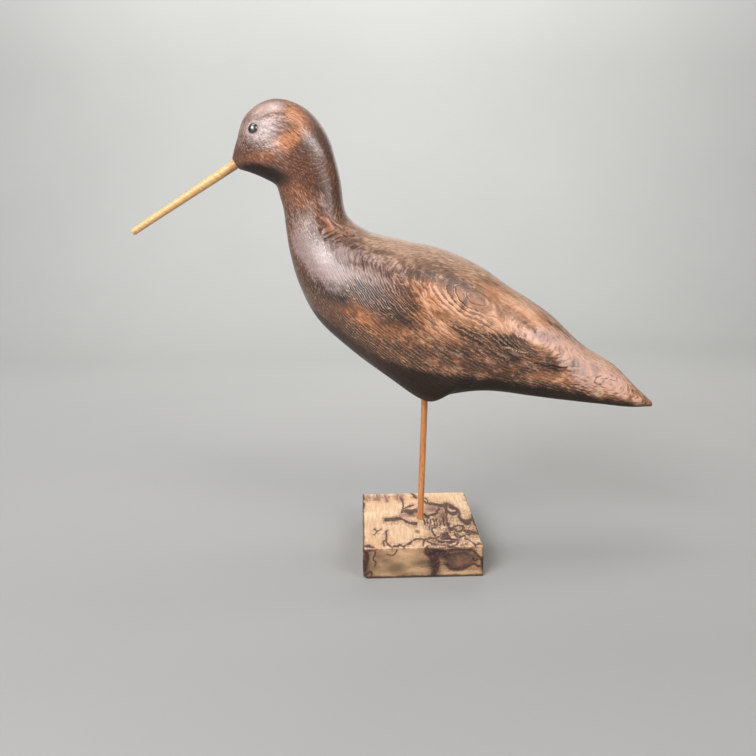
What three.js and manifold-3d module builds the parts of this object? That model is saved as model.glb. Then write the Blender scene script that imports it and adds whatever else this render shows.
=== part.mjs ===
// A shorebird decoy: a long-billed wading bird carved in one piece from a block of wood, with a
// tapered dowel for its bill and a bead for each eye, standing on one dowel leg in a wooden block.
// Millimetres, +Z up, the bill towards -X. The origin is the middle of the block's underside.

import * as THREE from 'three';
import { mergeVertices } from 'three/addons/utils/BufferGeometryUtils.js';
import Module from 'manifold-3d';

// The clearance between any two pieces that fit together, and how far outside the wood the cut of
// a hole begins
const FIT_GAP = 0.3;
const CUT_OVERRUN = 20;

// The bird, from the front of its head to the tip of its tail, and across its back
const BIRD_LENGTH = 400;
const BIRD_WIDTH = 95;
const BIRD_SIDES = 60;
const BIRD_STEPS = 57;

// Each rib of the carving is a slice from the back to the belly. Its ends are given as
// [towards the tail, up] from the top of the leg, in hundredths of the bird's length. half is the
// slice's half width and low is how far its widest place lies under its middle, in hundredths of
// the bird's half width and of the slice's half depth. edge says how square the lower side is:
// 2 is an ellipse, and more is squarer.
const RIBS = [
  { name: 'lores', back: [-42.4, 60.2], belly: [-39.7, 53.6], half: 30, low: 0, edge: 2.2 },
  { name: 'forehead', back: [-39.8, 66.0], belly: [-36.6, 52.3], half: 46, low: 6, edge: 2.4 },
  { name: 'crown', back: [-33.6, 69.1], belly: [-33.9, 50.6], half: 56, low: 10, edge: 2.5 },
  { name: 'hind crown', back: [-26.8, 67.1], belly: [-33.1, 47.8], half: 57, low: 5, edge: 2.4 },
  { name: 'nape', back: [-22.1, 61.5], belly: [-32.5, 44.9], half: 52, low: 0, edge: 2.2 },
  { name: 'neck', back: [-19.7, 53.5], belly: [-32.1, 40.6], half: 48, low: 0, edge: 2.1 },
  { name: 'neck foot', back: [-18.2, 44.4], belly: [-31.4, 34.9], half: 55, low: 0, edge: 2.1 },
  { name: 'shoulder', back: [-13.2, 40.4], belly: [-29.4, 27.8], half: 73, low: 0, edge: 2.2 },
  { name: 'breast', back: [-5.4, 38.3], belly: [-25.6, 20.4], half: 88, low: 5, edge: 2.3 },
  { name: 'mantle', back: [3.5, 36.2], belly: [-18.9, 13.7], half: 98, low: 10, edge: 2.4 },
  { name: 'back', back: [12.6, 32.1], belly: [-8.9, 5.9], half: 100, low: 12, edge: 2.5 },
  { name: 'keel', back: [20.2, 26.9], belly: [-0.4, 0.1], half: 97, low: 15, edge: 2.5 },
  { name: 'vent', back: [25.0, 23.9], belly: [5.1, 1.8], half: 93, low: 17, edge: 2.5 },
  { name: 'rump', back: [30.5, 19.9], belly: [14.1, 2.6], half: 86, low: 20, edge: 2.6 },
  { name: 'tail root', back: [38.1, 12.9], belly: [26.1, 0.9], half: 71, low: 25, edge: 2.7 },
  { name: 'tail', back: [46.1, 7.8], belly: [38.7, -1.0], half: 52, low: 30, edge: 2.8 },
  { name: 'tail end', back: [52.2, 1.9], belly: [50.2, -2.7], half: 30, low: 30, edge: 2.8 },
  { name: 'tail tip', back: [56.3, -1.8], belly: [56.0, -3.1], half: 12, low: 20, edge: 2.4 },
];
const UPPER_EDGE = 2.05;

// The bill: a straight dowel, tapered and rounded at its tip, glued into the front of the head.
// Its place is given as the ribs are, the droop is in degrees, and the rim is the wood of the head
// that shows around its root.
const BILL_ROOT = [-42.8, 55.55];
const BILL_EXPOSED = 115.5;
const BILL_IN_HEAD = 18;
const BILL_ROOT_DIAMETER = 8.8;
const BILL_TIP_DIAMETER = 6;
const BILL_TIP_ROUNDING = 1.6;
const BILL_DROOP = 31;
const BILL_RIM = 1.5;
const BILL_SIDES = 28;
const BILL_TIP_STEPS = 4;

// The eyes: domed beads in shallow holes. along is the share of the way from the first rib to the
// last, and turn is the angle round the rib in degrees, from the widest place towards the back.
const EYE_DIAMETER = 9.4;
const EYE_BULGE = 2.6;
const EYE_DEPTH = 2.4;
const EYE_SINK = 0.4;
const EYE_ALONG = 0.123;
const EYE_TURN = 27;
const EYE_SIDES = 32;
const EYE_RINGS = 5;

// The leg: one quarter-inch dowel, leaning a little towards the tail. The lean is in degrees.
const LEG_DIAMETER = 6.35;
const LEG_EXPOSED = 129;
const LEG_IN_BIRD = 28;
const LEG_LEAN = 1.8;
const LEG_OFFSET = 2.4;
const LEG_END_CHAMFER = 0.6;
const LEG_SIDES = 32;

// The block: a squared offcut whose sharp edges are just broken, with one lower corner knocked off
const BLOCK_LENGTH = 114.3;
const BLOCK_WIDTH = 127;
const BLOCK_HEIGHT = 31;
const BLOCK_ARRIS = 1.2;
const CORNER_TO_ARRIS = 1.6;
const BLOCK_CHIP = 5;
const FLOOR_UNDER_LEG = 11;

const wasm = await Module();
wasm.setup();

// A closed geometry as a solid that can be joined and cut
function toSolid(geometry) {
  const bare = geometry.clone();
  bare.deleteAttribute('normal');
  bare.deleteAttribute('uv');
  const merged = mergeVertices(bare, 1e-4);
  const vertProperties = new Float32Array(merged.attributes.position.array);
  const triVerts = new Uint32Array(merged.index.array);
  return new wasm.Manifold(new wasm.Mesh({ numProp: 3, vertProperties, triVerts }));
}

// A solid as a geometry that a mesh can carry
function toGeometry(solid) {
  const { vertProperties, triVerts } = solid.getMesh();
  const geometry = new THREE.BufferGeometry();
  geometry.setAttribute('position', new THREE.BufferAttribute(vertProperties, 3));
  geometry.setIndex(new THREE.BufferAttribute(triVerts, 1));
  geometry.computeVertexNormals();
  return geometry;
}

// A round piece turned about Y from [radius, height] pairs that start and end on the axis
function turned(profile, sides) {
  const points = profile.map(([radius, height]) => new THREE.Vector2(radius, height));
  return new THREE.LatheGeometry(points, sides);
}

// A solid with a blind round hole for a piece of the given diameter. The piece's own place gives
// the hole's axis, and the hole runs between two heights along it, with the fit's clearance at its
// wall and at its blind end.
function drilled(solid, placed, diameter, blindEnd, sides) {
  const radius = diameter / 2 + FIT_GAP;
  const end = blindEnd + Math.sign(blindEnd) * FIT_GAP;
  const mouth = -Math.sign(blindEnd) * CUT_OVERRUN;
  const [low, high] = [Math.min(end, mouth), Math.max(end, mouth)];
  const hole = turned([[0, low], [radius, low], [radius, high], [0, high]], sides);
  return solid.subtract(toSolid(hole.applyMatrix4(placed)));
}

// The place of a piece that is turned about Y, once its axis points along the given direction
function placement(position, direction) {
  const turn = new THREE.Quaternion().setFromUnitVectors(new THREE.Vector3(0, 1, 0), direction);
  return new THREE.Matrix4().compose(position, turn, new THREE.Vector3(1, 1, 1));
}

// A point given as a rib's ends are
function birdPoint([along, up]) {
  return new THREE.Vector3(along, 0, up).multiplyScalar(BIRD_LENGTH / 100);
}

function inDegrees(angle) {
  return THREE.MathUtils.degToRad(angle);
}

// The bill points forwards and down, and the leg's upper end points up and a little back
const billDirection = new THREE.Vector3(
  -Math.cos(inDegrees(BILL_DROOP)), 0, -Math.sin(inDegrees(BILL_DROOP)));
const legDirection = new THREE.Vector3(
  Math.sin(inDegrees(LEG_LEAN)), 0, Math.cos(inDegrees(LEG_LEAN)));
const legFoot = new THREE.Vector3(LEG_OFFSET, 0, BLOCK_HEIGHT);
const legTop = legFoot.clone().addScaledVector(legDirection, LEG_EXPOSED);

// The first rib is the small flat that the bill grows from. It lies square to the bill and leaves
// the same rim all round it. The other ribs follow in order.
function ribTable() {
  const across = new THREE.Vector3(billDirection.z, 0, -billDirection.x);
  const reach = BILL_ROOT_DIAMETER / 2 + BILL_RIM;
  const root = birdPoint(BILL_ROOT);
  const first = {
    back: root.clone().addScaledVector(across, reach),
    belly: root.clone().addScaledVector(across, -reach),
    half: reach,
    low: 0,
    edge: 2,
  };
  const rest = RIBS.map((rib) => ({
    back: birdPoint(rib.back),
    belly: birdPoint(rib.belly),
    half: (rib.half / 100) * (BIRD_WIDTH / 2),
    low: rib.low / 100,
    edge: rib.edge,
  }));
  return [first, ...rest];
}

// Three smooth curves run through the ribs: the back, the belly, and the shape of the slice
const ribs = ribTable();
const backCurve = smoothCurve(ribs.map((rib) => rib.back));
const bellyCurve = smoothCurve(ribs.map((rib) => rib.belly));
const shapeCurve = smoothCurve(ribs.map((rib) => new THREE.Vector3(rib.half, rib.low, rib.edge)));

function smoothCurve(points) {
  return new THREE.CatmullRomCurve3(points, false, 'catmullrom', 0.5);
}

// A point of the bird's skin. along runs from 0 at the bill to 1 at the tip of the tail, and turn
// goes round the slice, from 0 on the left side through a quarter turn at the back.
function skinPoint(along, turn) {
  const back = backCurve.getPoint(along);
  const belly = bellyCurve.getPoint(along);
  const { x: half, y: low, z: lowerEdge } = shapeCurve.getPoint(along);
  const edge = Math.sin(turn) < 0 ? lowerEdge : UPPER_EDGE;
  const rounded = (value) => Math.sign(value) * Math.abs(value) ** (2 / edge);
  const across = rounded(Math.cos(turn));
  const level = rounded(Math.sin(turn));
  const height = level - low * (1 - level * level);
  const point = belly.lerp(back, (1 + height) / 2);
  point.y = -half * across;
  return point;
}

// The bird's skin as one closed body: rings of points, joined by triangles, and a flat at each end
function birdGeometry() {
  const positions = [];
  const faces = [];
  for (let step = 0; step <= BIRD_STEPS; step += 1) {
    for (let side = 0; side < BIRD_SIDES; side += 1) {
      const point = skinPoint(step / BIRD_STEPS, (side / BIRD_SIDES) * 2 * Math.PI);
      positions.push(point.x, point.y, point.z);
    }
  }
  const ringPoint = (step, side) => step * BIRD_SIDES + (side % BIRD_SIDES);
  for (let step = 0; step < BIRD_STEPS; step += 1) {
    for (let side = 0; side < BIRD_SIDES; side += 1) {
      const near = ringPoint(step, side);
      const nearNext = ringPoint(step, side + 1);
      const far = ringPoint(step + 1, side);
      const farNext = ringPoint(step + 1, side + 1);
      faces.push(near, farNext, nearNext, near, far, farNext);
    }
  }
  for (let side = 1; side < BIRD_SIDES - 1; side += 1) {
    faces.push(ringPoint(0, 0), ringPoint(0, side), ringPoint(0, side + 1));
    const last = BIRD_STEPS;
    faces.push(ringPoint(last, 0), ringPoint(last, side + 1), ringPoint(last, side));
  }
  const geometry = new THREE.BufferGeometry();
  geometry.setAttribute('position', new THREE.Float32BufferAttribute(positions, 3));
  geometry.setIndex(faces);
  return geometry;
}

// The bill's outline, from its flat end in the head to its blunt tip with a rounded edge
function billProfile() {
  const root = BILL_ROOT_DIAMETER / 2;
  const tip = BILL_TIP_DIAMETER / 2;
  const rounding = Math.min(BILL_TIP_ROUNDING, tip);
  const profile = [[0, -BILL_IN_HEAD], [root, -BILL_IN_HEAD], [root, 0]];
  for (let step = 0; step <= BILL_TIP_STEPS; step += 1) {
    const angle = (step / BILL_TIP_STEPS) * (Math.PI / 2);
    const inwards = rounding * (1 - Math.cos(angle));
    const short = rounding * (1 - Math.sin(angle));
    profile.push([tip - inwards, BILL_EXPOSED - short]);
  }
  profile.push([0, BILL_EXPOSED]);
  return profile;
}

// The eye's outline, from its flat back to the top of its dome. The dome is a cap of a sphere.
function eyeProfile() {
  const radius = EYE_DIAMETER / 2;
  const sphere = (radius * radius + EYE_BULGE * EYE_BULGE) / (2 * EYE_BULGE);
  const sweep = Math.asin(Math.min(1, radius / sphere));
  const profile = [[0, -EYE_DEPTH], [radius, -EYE_DEPTH]];
  for (let ring = 0; ring < EYE_RINGS; ring += 1) {
    const angle = sweep * (1 - ring / EYE_RINGS);
    profile.push([sphere * Math.sin(angle), EYE_BULGE - sphere * (1 - Math.cos(angle))]);
  }
  profile.push([0, EYE_BULGE]);
  return profile;
}

// The leg's outline, chamfered at both hidden ends, with its height 0 at the block's top
function legProfile() {
  const radius = LEG_DIAMETER / 2;
  const bottom = -legInBlock;
  const top = LEG_EXPOSED + LEG_IN_BIRD;
  return [
    [0, bottom],
    [radius - LEG_END_CHAMFER, bottom],
    [radius, bottom + LEG_END_CHAMFER],
    [radius, top - LEG_END_CHAMFER],
    [radius - LEG_END_CHAMFER, top],
    [0, top],
  ];
}

// The block's plan, a rectangle with its corners rounded a little more than its arris
function blockPlan() {
  const radius = CORNER_TO_ARRIS * BLOCK_ARRIS;
  const x = BLOCK_LENGTH / 2 - radius;
  const y = BLOCK_WIDTH / 2 - radius;
  const plan = new THREE.Shape();
  plan.absarc(-x, -y, radius, Math.PI, 1.5 * Math.PI, false);
  plan.absarc(x, -y, radius, 1.5 * Math.PI, 2 * Math.PI, false);
  plan.absarc(x, y, radius, 0, 0.5 * Math.PI, false);
  plan.absarc(-x, y, radius, 0.5 * Math.PI, Math.PI, false);
  return plan;
}

function blockBlank() {
  const geometry = new THREE.ExtrudeGeometry(blockPlan(), {
    depth: BLOCK_HEIGHT - 2 * BLOCK_ARRIS,
    bevelThickness: BLOCK_ARRIS,
    bevelSize: BLOCK_ARRIS,
    bevelOffset: -BLOCK_ARRIS,
    bevelSegments: 2,
    curveSegments: 2,
  });
  geometry.translate(0, 0, BLOCK_ARRIS);
  return geometry;
}

// What the knocked-off corner takes away: a box whose near face crosses the three edges of the
// lower front corner under the bill, each at the chip's length from the corner
function chipGeometry() {
  const outwards = new THREE.Vector3(-1, -1, -1).normalize();
  const corner = new THREE.Vector3(-BLOCK_LENGTH / 2, -BLOCK_WIDTH / 2, 0);
  const size = 4 * BLOCK_CHIP;
  const inset = BLOCK_CHIP / Math.sqrt(3);
  const centre = corner.addScaledVector(outwards, size / 2 - inset);
  return new THREE.BoxGeometry(size, size, size).applyMatrix4(placement(centre, outwards));
}

function woodMaterial(color, roughness) {
  return new THREE.MeshStandardMaterial({ color, roughness, metalness: 0 });
}

// The pieces' places. The bird and what is set in it share a group whose origin is the leg's top.
const legInBlock = BLOCK_HEIGHT - FLOOR_UNDER_LEG;
const atLegFoot = placement(legFoot, legDirection);
const atLegTop = placement(new THREE.Vector3(0, 0, 0), legDirection);
const atBill = placement(birdPoint(BILL_ROOT), billDirection);

// An eye's place, on the left side or the right, square to the skin and sunk a little into it
function eyePlacement(side) {
  const turn = inDegrees(EYE_TURN);
  const nudge = 0.01;
  const here = skinPoint(EYE_ALONG, turn);
  const onwards = skinPoint(EYE_ALONG + nudge, turn).sub(skinPoint(EYE_ALONG - nudge, turn));
  const around = skinPoint(EYE_ALONG, turn + nudge).sub(skinPoint(EYE_ALONG, turn - nudge));
  const outwards = around.cross(onwards).normalize();
  if (outwards.y > 0) outwards.negate();
  here.addScaledVector(outwards, -EYE_SINK);
  here.y *= side;
  outwards.y *= side;
  return placement(here, outwards);
}

const atEye = { left_eye: eyePlacement(1), right_eye: eyePlacement(-1) };

function makeBird() {
  let solid = toSolid(birdGeometry());
  solid = drilled(solid, atLegTop, LEG_DIAMETER, LEG_IN_BIRD, LEG_SIDES);
  solid = drilled(solid, atBill, BILL_ROOT_DIAMETER, -BILL_IN_HEAD, BILL_SIDES);
  for (const placed of Object.values(atEye)) {
    solid = drilled(solid, placed, EYE_DIAMETER, -EYE_DEPTH, EYE_SIDES);
  }
  const mesh = new THREE.Mesh(toGeometry(solid), woodMaterial(0x4a2b1c, 0.45));
  mesh.name = 'bird';
  return mesh;
}

function makeBill() {
  const geometry = turned(billProfile(), BILL_SIDES);
  const mesh = new THREE.Mesh(geometry, woodMaterial(0xd9b26a, 0.5));
  mesh.name = 'bill';
  mesh.applyMatrix4(atBill);
  return mesh;
}

function makeEye(name) {
  const material = new THREE.MeshStandardMaterial({ color: 0x1c1412, roughness: 0.15, metalness: 0 });
  const mesh = new THREE.Mesh(turned(eyeProfile(), EYE_SIDES), material);
  mesh.name = name;
  mesh.applyMatrix4(atEye[name]);
  return mesh;
}

function makeLeg() {
  const mesh = new THREE.Mesh(turned(legProfile(), LEG_SIDES), woodMaterial(0xb9783c, 0.55));
  mesh.name = 'leg';
  mesh.applyMatrix4(atLegFoot);
  return mesh;
}

function makeBlock() {
  const blank = toSolid(blockBlank()).subtract(toSolid(chipGeometry()));
  const solid = drilled(blank, atLegFoot, LEG_DIAMETER, -legInBlock, LEG_SIDES);
  const mesh = new THREE.Mesh(toGeometry(solid), woodMaterial(0xc9a57c, 0.7));
  mesh.name = 'base_block';
  return mesh;
}

const birdGroup = new THREE.Group();
birdGroup.position.copy(legTop);
birdGroup.add(makeBird(), makeBill(), ...Object.keys(atEye).map(makeEye));

const group = new THREE.Group();
group.add(makeBlock(), makeLeg(), birdGroup);

export default group;
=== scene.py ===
# %% [markdown]
# # A carved shorebird on its dowel leg
# The real thing is a decoy carved from one piece of wood, stained dark, wire-brushed and waxed. A
# pale dowel is its bill, a bead is set in for each eye, and one thin dowel carries it on a block of
# spalted wood. The model that the shapes were drawn in comes first. It gives every piece its place,
# and the cells below it give every piece its finish.

# %% Load the model
import math

import bpy
import numpy as np
from mathutils import Matrix, Vector


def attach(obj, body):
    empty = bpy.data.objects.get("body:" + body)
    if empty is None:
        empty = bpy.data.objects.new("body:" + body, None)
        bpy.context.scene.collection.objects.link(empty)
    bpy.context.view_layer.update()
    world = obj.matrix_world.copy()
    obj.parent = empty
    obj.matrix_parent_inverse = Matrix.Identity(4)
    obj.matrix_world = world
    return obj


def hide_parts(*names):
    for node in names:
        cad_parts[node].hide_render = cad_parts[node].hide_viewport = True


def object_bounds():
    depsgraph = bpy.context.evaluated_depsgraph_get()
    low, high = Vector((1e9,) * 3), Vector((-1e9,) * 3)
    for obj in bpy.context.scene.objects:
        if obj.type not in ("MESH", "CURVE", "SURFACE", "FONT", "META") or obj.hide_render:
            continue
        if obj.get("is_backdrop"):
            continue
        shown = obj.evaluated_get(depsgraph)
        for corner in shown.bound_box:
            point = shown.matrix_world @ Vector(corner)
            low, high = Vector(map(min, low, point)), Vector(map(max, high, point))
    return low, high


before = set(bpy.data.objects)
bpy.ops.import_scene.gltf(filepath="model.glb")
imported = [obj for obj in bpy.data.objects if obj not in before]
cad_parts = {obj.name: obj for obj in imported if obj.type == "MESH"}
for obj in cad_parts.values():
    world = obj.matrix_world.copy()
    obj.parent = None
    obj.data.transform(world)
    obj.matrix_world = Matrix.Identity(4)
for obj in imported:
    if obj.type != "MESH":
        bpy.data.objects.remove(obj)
cad_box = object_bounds()
MM = 0.001
print("pieces:", sorted(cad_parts))
print("whole size in mm:", [round(1000 * side) for side in cad_box[1] - cad_box[0]])

# %% [markdown]
# ## The camera
# The picture was taken from the bird's left side, a little above it and from close by. The place
# and the turns below are those that bring the block's six visible corners onto the picture. A lens
# of 32 mm on a 36 mm frame has no need of a shifted frame, so the other views stay simple.

# %% Camera
CAMERA_PLACE = (-0.0524, -0.6370, 0.3404)
CAMERA_YAW, CAMERA_DOWN, CAMERA_ROLL = -1.17, 14.06, -0.72


def put(name, data):
    """A new object in the scene for a mesh, a light or a camera."""
    thing = bpy.data.objects.new(name, data)
    bpy.context.scene.collection.objects.link(thing)
    return thing


def level_turn(degrees, axis):
    return Matrix.Rotation(math.radians(degrees), 4, axis)


camera_data = bpy.data.cameras.new("camera")
camera_data.lens = 32
camera_data.sensor_width = 36
camera = put("camera", camera_data)
camera.matrix_world = (
    Matrix.Translation(CAMERA_PLACE)
    @ level_turn(CAMERA_YAW, "Z")
    @ level_turn(90 - CAMERA_DOWN, "X")
    @ level_turn(CAMERA_ROLL, "Z")
)
bpy.context.scene.camera = camera
bpy.context.scene.view_settings.view_transform = "Standard"
print("camera at", CAMERA_PLACE, "lens", camera_data.lens)

# %% [markdown]
# ## Sums on sockets
# A pattern such as wood grain is a sum over the surface: a place goes in and a colour or a height
# comes out. Wiring that by hand takes hundreds of nodes. The two small classes here let it be
# written as plain Python instead. A Term stands for the output of a node, and Python's operators
# add the next node. A Recipe holds the tree: its method node adds any other node, and the short
# ones below it are for those that come up most. The same two serve the materials and the shapes.

# %% Terms
def operator(operation, turned=False):
    """A Python operator that adds one step of maths to the recipe."""
    def apply(self, other):
        terms = (other, self) if turned else (self, other)
        return self.recipe.sum(operation, *terms)
    return apply


class Term:
    """The output of a node. Python's operators turn it into further nodes."""

    __add__, __radd__ = operator("ADD"), operator("ADD", True)
    __sub__, __rsub__ = operator("SUBTRACT"), operator("SUBTRACT", True)
    __mul__, __rmul__ = operator("MULTIPLY"), operator("MULTIPLY", True)
    __truediv__, __rtruediv__ = operator("DIVIDE"), operator("DIVIDE", True)
    __pow__ = operator("POWER")

    def __init__(self, recipe, socket):
        self.recipe = recipe
        self.socket = socket

    def __neg__(self):
        return self * -1.0

    def __abs__(self):
        return self.recipe.maths("ABSOLUTE", self)


def is_vector(term):
    if isinstance(term, Term):
        return term.socket.type in ("VECTOR", "RGBA")
    return hasattr(term, "__len__")


print("operators:", [name for name in vars(Term) if name not in vars(object)])


# %% Recipes
class Recipe:
    """A node tree that is written call by call."""

    def __init__(self, tree):
        self.tree = tree

    def node(self, kind, settings=None, inputs=None, output=0):
        """Adds a node: its settings first, then the values or links of its sockets."""
        node = self.tree.nodes.new(kind)
        for name, value in (settings or {}).items():
            setattr(node, name, value)
        for key, value in (inputs or {}).items():
            socket = node.inputs[key]
            if isinstance(value, Term):
                self.tree.links.new(value.socket, socket)
            elif socket.type == "RGBA":
                socket.default_value = (*value, 1)
            else:
                socket.default_value = value
        return Term(self, node.outputs[output])

    def maths(self, operation, *terms):
        return self.node("ShaderNodeMath", {"operation": operation}, dict(enumerate(terms)))

    def vector_maths(self, operation, *terms, output=0):
        settings = {"operation": operation}
        return self.node("ShaderNodeVectorMath", settings, dict(enumerate(terms)), output)

    def sum(self, operation, *terms):
        """One step of maths, on vectors if any of the terms is one."""
        vectors = [is_vector(term) for term in terms]
        if not any(vectors):
            return self.maths(operation, *terms)
        if operation == "MULTIPLY" and not all(vectors):
            vector, scale = terms if vectors[0] else terms[::-1]
            return self.node("ShaderNodeVectorMath", {"operation": "SCALE"}, {0: vector, 3: scale})
        return self.vector_maths(operation, *terms)

    def most(self, first, *others, pick="MAXIMUM"):
        """The greatest of several numbers."""
        for other in others:
            first = self.maths(pick, first, other)
        return first

    def least(self, *terms):
        return self.most(*terms, pick="MINIMUM")

    def wave(self, turns):
        """Rises to 1 at every whole number of turns, and falls to -1 between them."""
        return self.maths("COSINE", turns * (2 * math.pi))

    def dot(self, a, b):
        return self.vector_maths("DOT_PRODUCT", a, b, output=1)

    def length(self, a):
        return self.vector_maths("LENGTH", a, output=1)

    def unit(self, a):
        return self.vector_maths("NORMALIZE", a)

    def part(self, vector, axis):
        return self.node("ShaderNodeSeparateXYZ", None, {0: vector}, "XYZ".index(axis))

    def join(self, x, y, z):
        return self.node("ShaderNodeCombineXYZ", None, {0: x, 1: y, 2: z})

    def measured(self, place, centre=(0.0, 0.0, 0.0), slope=0.0, reach=(1.0, 1.0, 1.0)):
        """The place from a centre, along axes that fall towards +X, in shares of a reach."""
        turn = (0.0, math.radians(slope), 0.0)
        inputs = {"Vector": place, "Location": centre, "Rotation": turn, "Scale": reach}
        return self.node("ShaderNodeMapping", {"vector_type": "TEXTURE"}, inputs)

    def fade(self, value, low, high):
        """0 at low, 1 at high, and a soft step between them. low may be the greater."""
        inputs = {"Value": value, "From Min": low, "From Max": high}
        return self.node("ShaderNodeMapRange", {"interpolation_type": "SMOOTHSTEP"}, inputs)

    def mix(self, share, a, b):
        """Between two numbers."""
        return self.node("ShaderNodeMix", {"data_type": "FLOAT"}, {0: share, 2: a, 3: b})

    def blend(self, share, a, b):
        """Between two colours."""
        return self.node("ShaderNodeMix", {"data_type": "RGBA"}, {0: share, 6: a, 7: b}, 2)

    def cloud(self, place, size, detail=3.0, roughness=0.5):
        """Soft noise from about 0.2 to 0.8, whose lumps have the given size in millimetres."""
        scale = 1 / (size * MM)
        inputs = {"Vector": place, "Scale": scale, "Detail": detail, "Roughness": roughness}
        return self.node("ShaderNodeTexNoise", None, inputs)


print("steps of a recipe:", [name for name in vars(Recipe) if name[0] != "_"])

# %% [markdown]
# ## The studio
# A sheet of pale paper lies under the object and rises behind it in one wide bend, so no line shows
# where the floor ends. Its plain grey is nearly flat, with only the paper's own faint cloudiness.
# Marking it as stage keeps it out of the object.

# %% Colours and the paper sweep
def seen(red, green, blue):
    """A colour as it is read on a screen, from 0 to 255, in the linear values that shaders use."""
    values = [value / 255 for value in (red, green, blue)]
    return tuple(v / 12.92 if v < 0.04045 else ((v + 0.055) / 1.055) ** 2.4 for v in values)


def between(n, share, low, high):
    """A colour between two that are given as they are seen."""
    return n.blend(share, seen(*low), seen(*high))


def layered(n, colour, layers):
    """Lays one colour after another over the first, each as far as its mask says."""
    for mask, over in layers:
        colour = n.blend(mask, colour, over if isinstance(over, Term) else seen(*over))
    return colour


def new_material(name):
    """A material with a recipe to write it in, and its one shader."""
    material = bpy.data.materials.new(name)
    material.use_nodes = True
    return material, Recipe(material.node_tree), material.node_tree.nodes["Principled BSDF"]


def feed(n, shader, height=None, strength=1.0, **values):
    """Links or sets the shader's sockets. Base_Color is Base Color, the height in mm is bump."""
    if height is not None:
        inputs = {"Strength": strength, "Distance": MM, "Height": height}
        values["Normal"] = n.node("ShaderNodeBump", None, inputs)
    for name, value in values.items():
        socket = shader.inputs[name.replace("_", " ")]
        if isinstance(value, Term):
            n.tree.links.new(value.socket, socket)
        else:
            socket.default_value = value


def object_place(n):
    return n.node("ShaderNodeTexCoord", None, None, "Object")


paper, n, shader = new_material("studio_paper")
cloudiness = n.cloud(object_place(n), 400, 4)
greys = between(n, cloudiness, (148, 148, 146), (155, 155, 153))
feed(n, shader, Base_Color=greys, Roughness=0.9, Specular_IOR_Level=0.1)

BEND_START, BEND_RADIUS, BEND_STEPS = 0.95, 0.8, 24
SWEEP_HALF, SWEEP_TOP = 6.0, 4.0
profile = [(-SWEEP_HALF, 0.0), (-2.0, 0.0), (0.0, 0.0)]
for step in range(BEND_STEPS + 1):
    turn = math.radians(90 * step / BEND_STEPS)
    profile.append((BEND_START + BEND_RADIUS * math.sin(turn), BEND_RADIUS * (1 - math.cos(turn))))
profile.append((BEND_START + BEND_RADIUS, SWEEP_TOP))
corners = [(side, y, z) for y, z in profile for side in (-SWEEP_HALF, SWEEP_HALF)]
strips = [(2 * k, 2 * k + 1, 2 * k + 3, 2 * k + 2) for k in range(len(profile) - 1)]
sweep_mesh = bpy.data.meshes.new("paper_sweep")
sweep_mesh.from_pydata(corners, [], strips)
sweep_mesh.shade_smooth()
sweep_mesh.materials.append(paper)
put("paper_sweep", sweep_mesh)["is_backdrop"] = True
print("paper strips:", len(strips))

# %% [markdown]
# ## The light
# The sheen on the waxed wood tells where the light came from. The crown mirrors something small
# overhead, the shoulder and the front of the neck mirror the bright side on the left, and the nape
# and the tail mirror a weaker one on the right. Straight ahead it is darker, where the camera
# stands. So each side has a low box and a lamp above it, stronger on the left. A small box hangs
# overhead, a weak one stands behind for the far side, a long one is turned towards the paper, and
# a dim grey world fills the rest.

# %% Soft boxes
LIGHT_AIM = Vector((-0.02, 0.0, 0.25))


def soft_box(name, towards, distance, width, height, power, colour=(1.0, 1.0, 1.0)):
    """A soft box that looks at the bird from the given direction, and doesn't show itself."""
    light = bpy.data.lights.new(name, "AREA")
    light.shape = "RECTANGLE"
    light.size = width
    light.size_y = height
    light.energy = power
    light.color = colour
    box = put(name, light)
    box.location = LIGHT_AIM + Vector(towards).normalized() * distance
    box.rotation_euler = (LIGHT_AIM - box.location).to_track_quat("-Z", "Y").to_euler()
    box.visible_camera = False
    return box


soft_box("box_overhead", (-0.24, -0.02, 0.95), 1.7, 0.7, 0.6, 7.5, (1.0, 0.97, 0.94))
soft_box("box_left", (-0.46, -0.82, 0.33), 1.5, 1.0, 0.65, 12.0, (0.97, 0.97, 1.0))
soft_box("lamp_left", (-0.52, -0.60, 0.60), 1.5, 0.8, 0.8, 21.0, (0.98, 0.98, 1.0))
soft_box("box_right", (0.74, -0.56, 0.36), 1.5, 0.7, 0.8, 5.0, (1.0, 0.95, 0.92))
soft_box("lamp_right", (0.55, -0.58, 0.60), 1.5, 0.55, 0.55, 7.0, (1.0, 0.96, 0.94))
soft_box("box_behind", (0.35, 0.80, 0.50), 0.9, 0.6, 0.6, 1.3)
wall_box = soft_box("box_for_the_wall", (0.0, 0.25, 1.0), 1.5, 3.0, 0.5, 77.0)
wall_box.rotation_euler = (math.radians(72), 0.0, 0.0)
world = bpy.data.worlds.new("studio_air")
world.use_nodes = True
air = world.node_tree.nodes["Background"].inputs
air["Color"].default_value = (0.93, 0.96, 1.0, 1)
air["Strength"].default_value = 0.12
bpy.context.scene.world = world

# %% [markdown]
# ## The plank
# The bird was cut from a thick plank sawn off the side of the trunk. Its growth rings are almost
# flat sheets that lie like the pages of a book, and the carver's curved surface cuts through them,
# which gives nested ovals on the flank, slanting lines on the breast and close lines at the ridge.
# So the grain isn't painted on: one sum counts the rings at any place in the wood, and both the
# carved relief and the stain read it. The sheets lean 17 degrees back and 22 degrees up, square to
# the middle of the flank's figure. The outermost rings, which the figure shows, lie close together,
# as a tree's last years do, and the ones further in are 2 mm thick.

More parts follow.
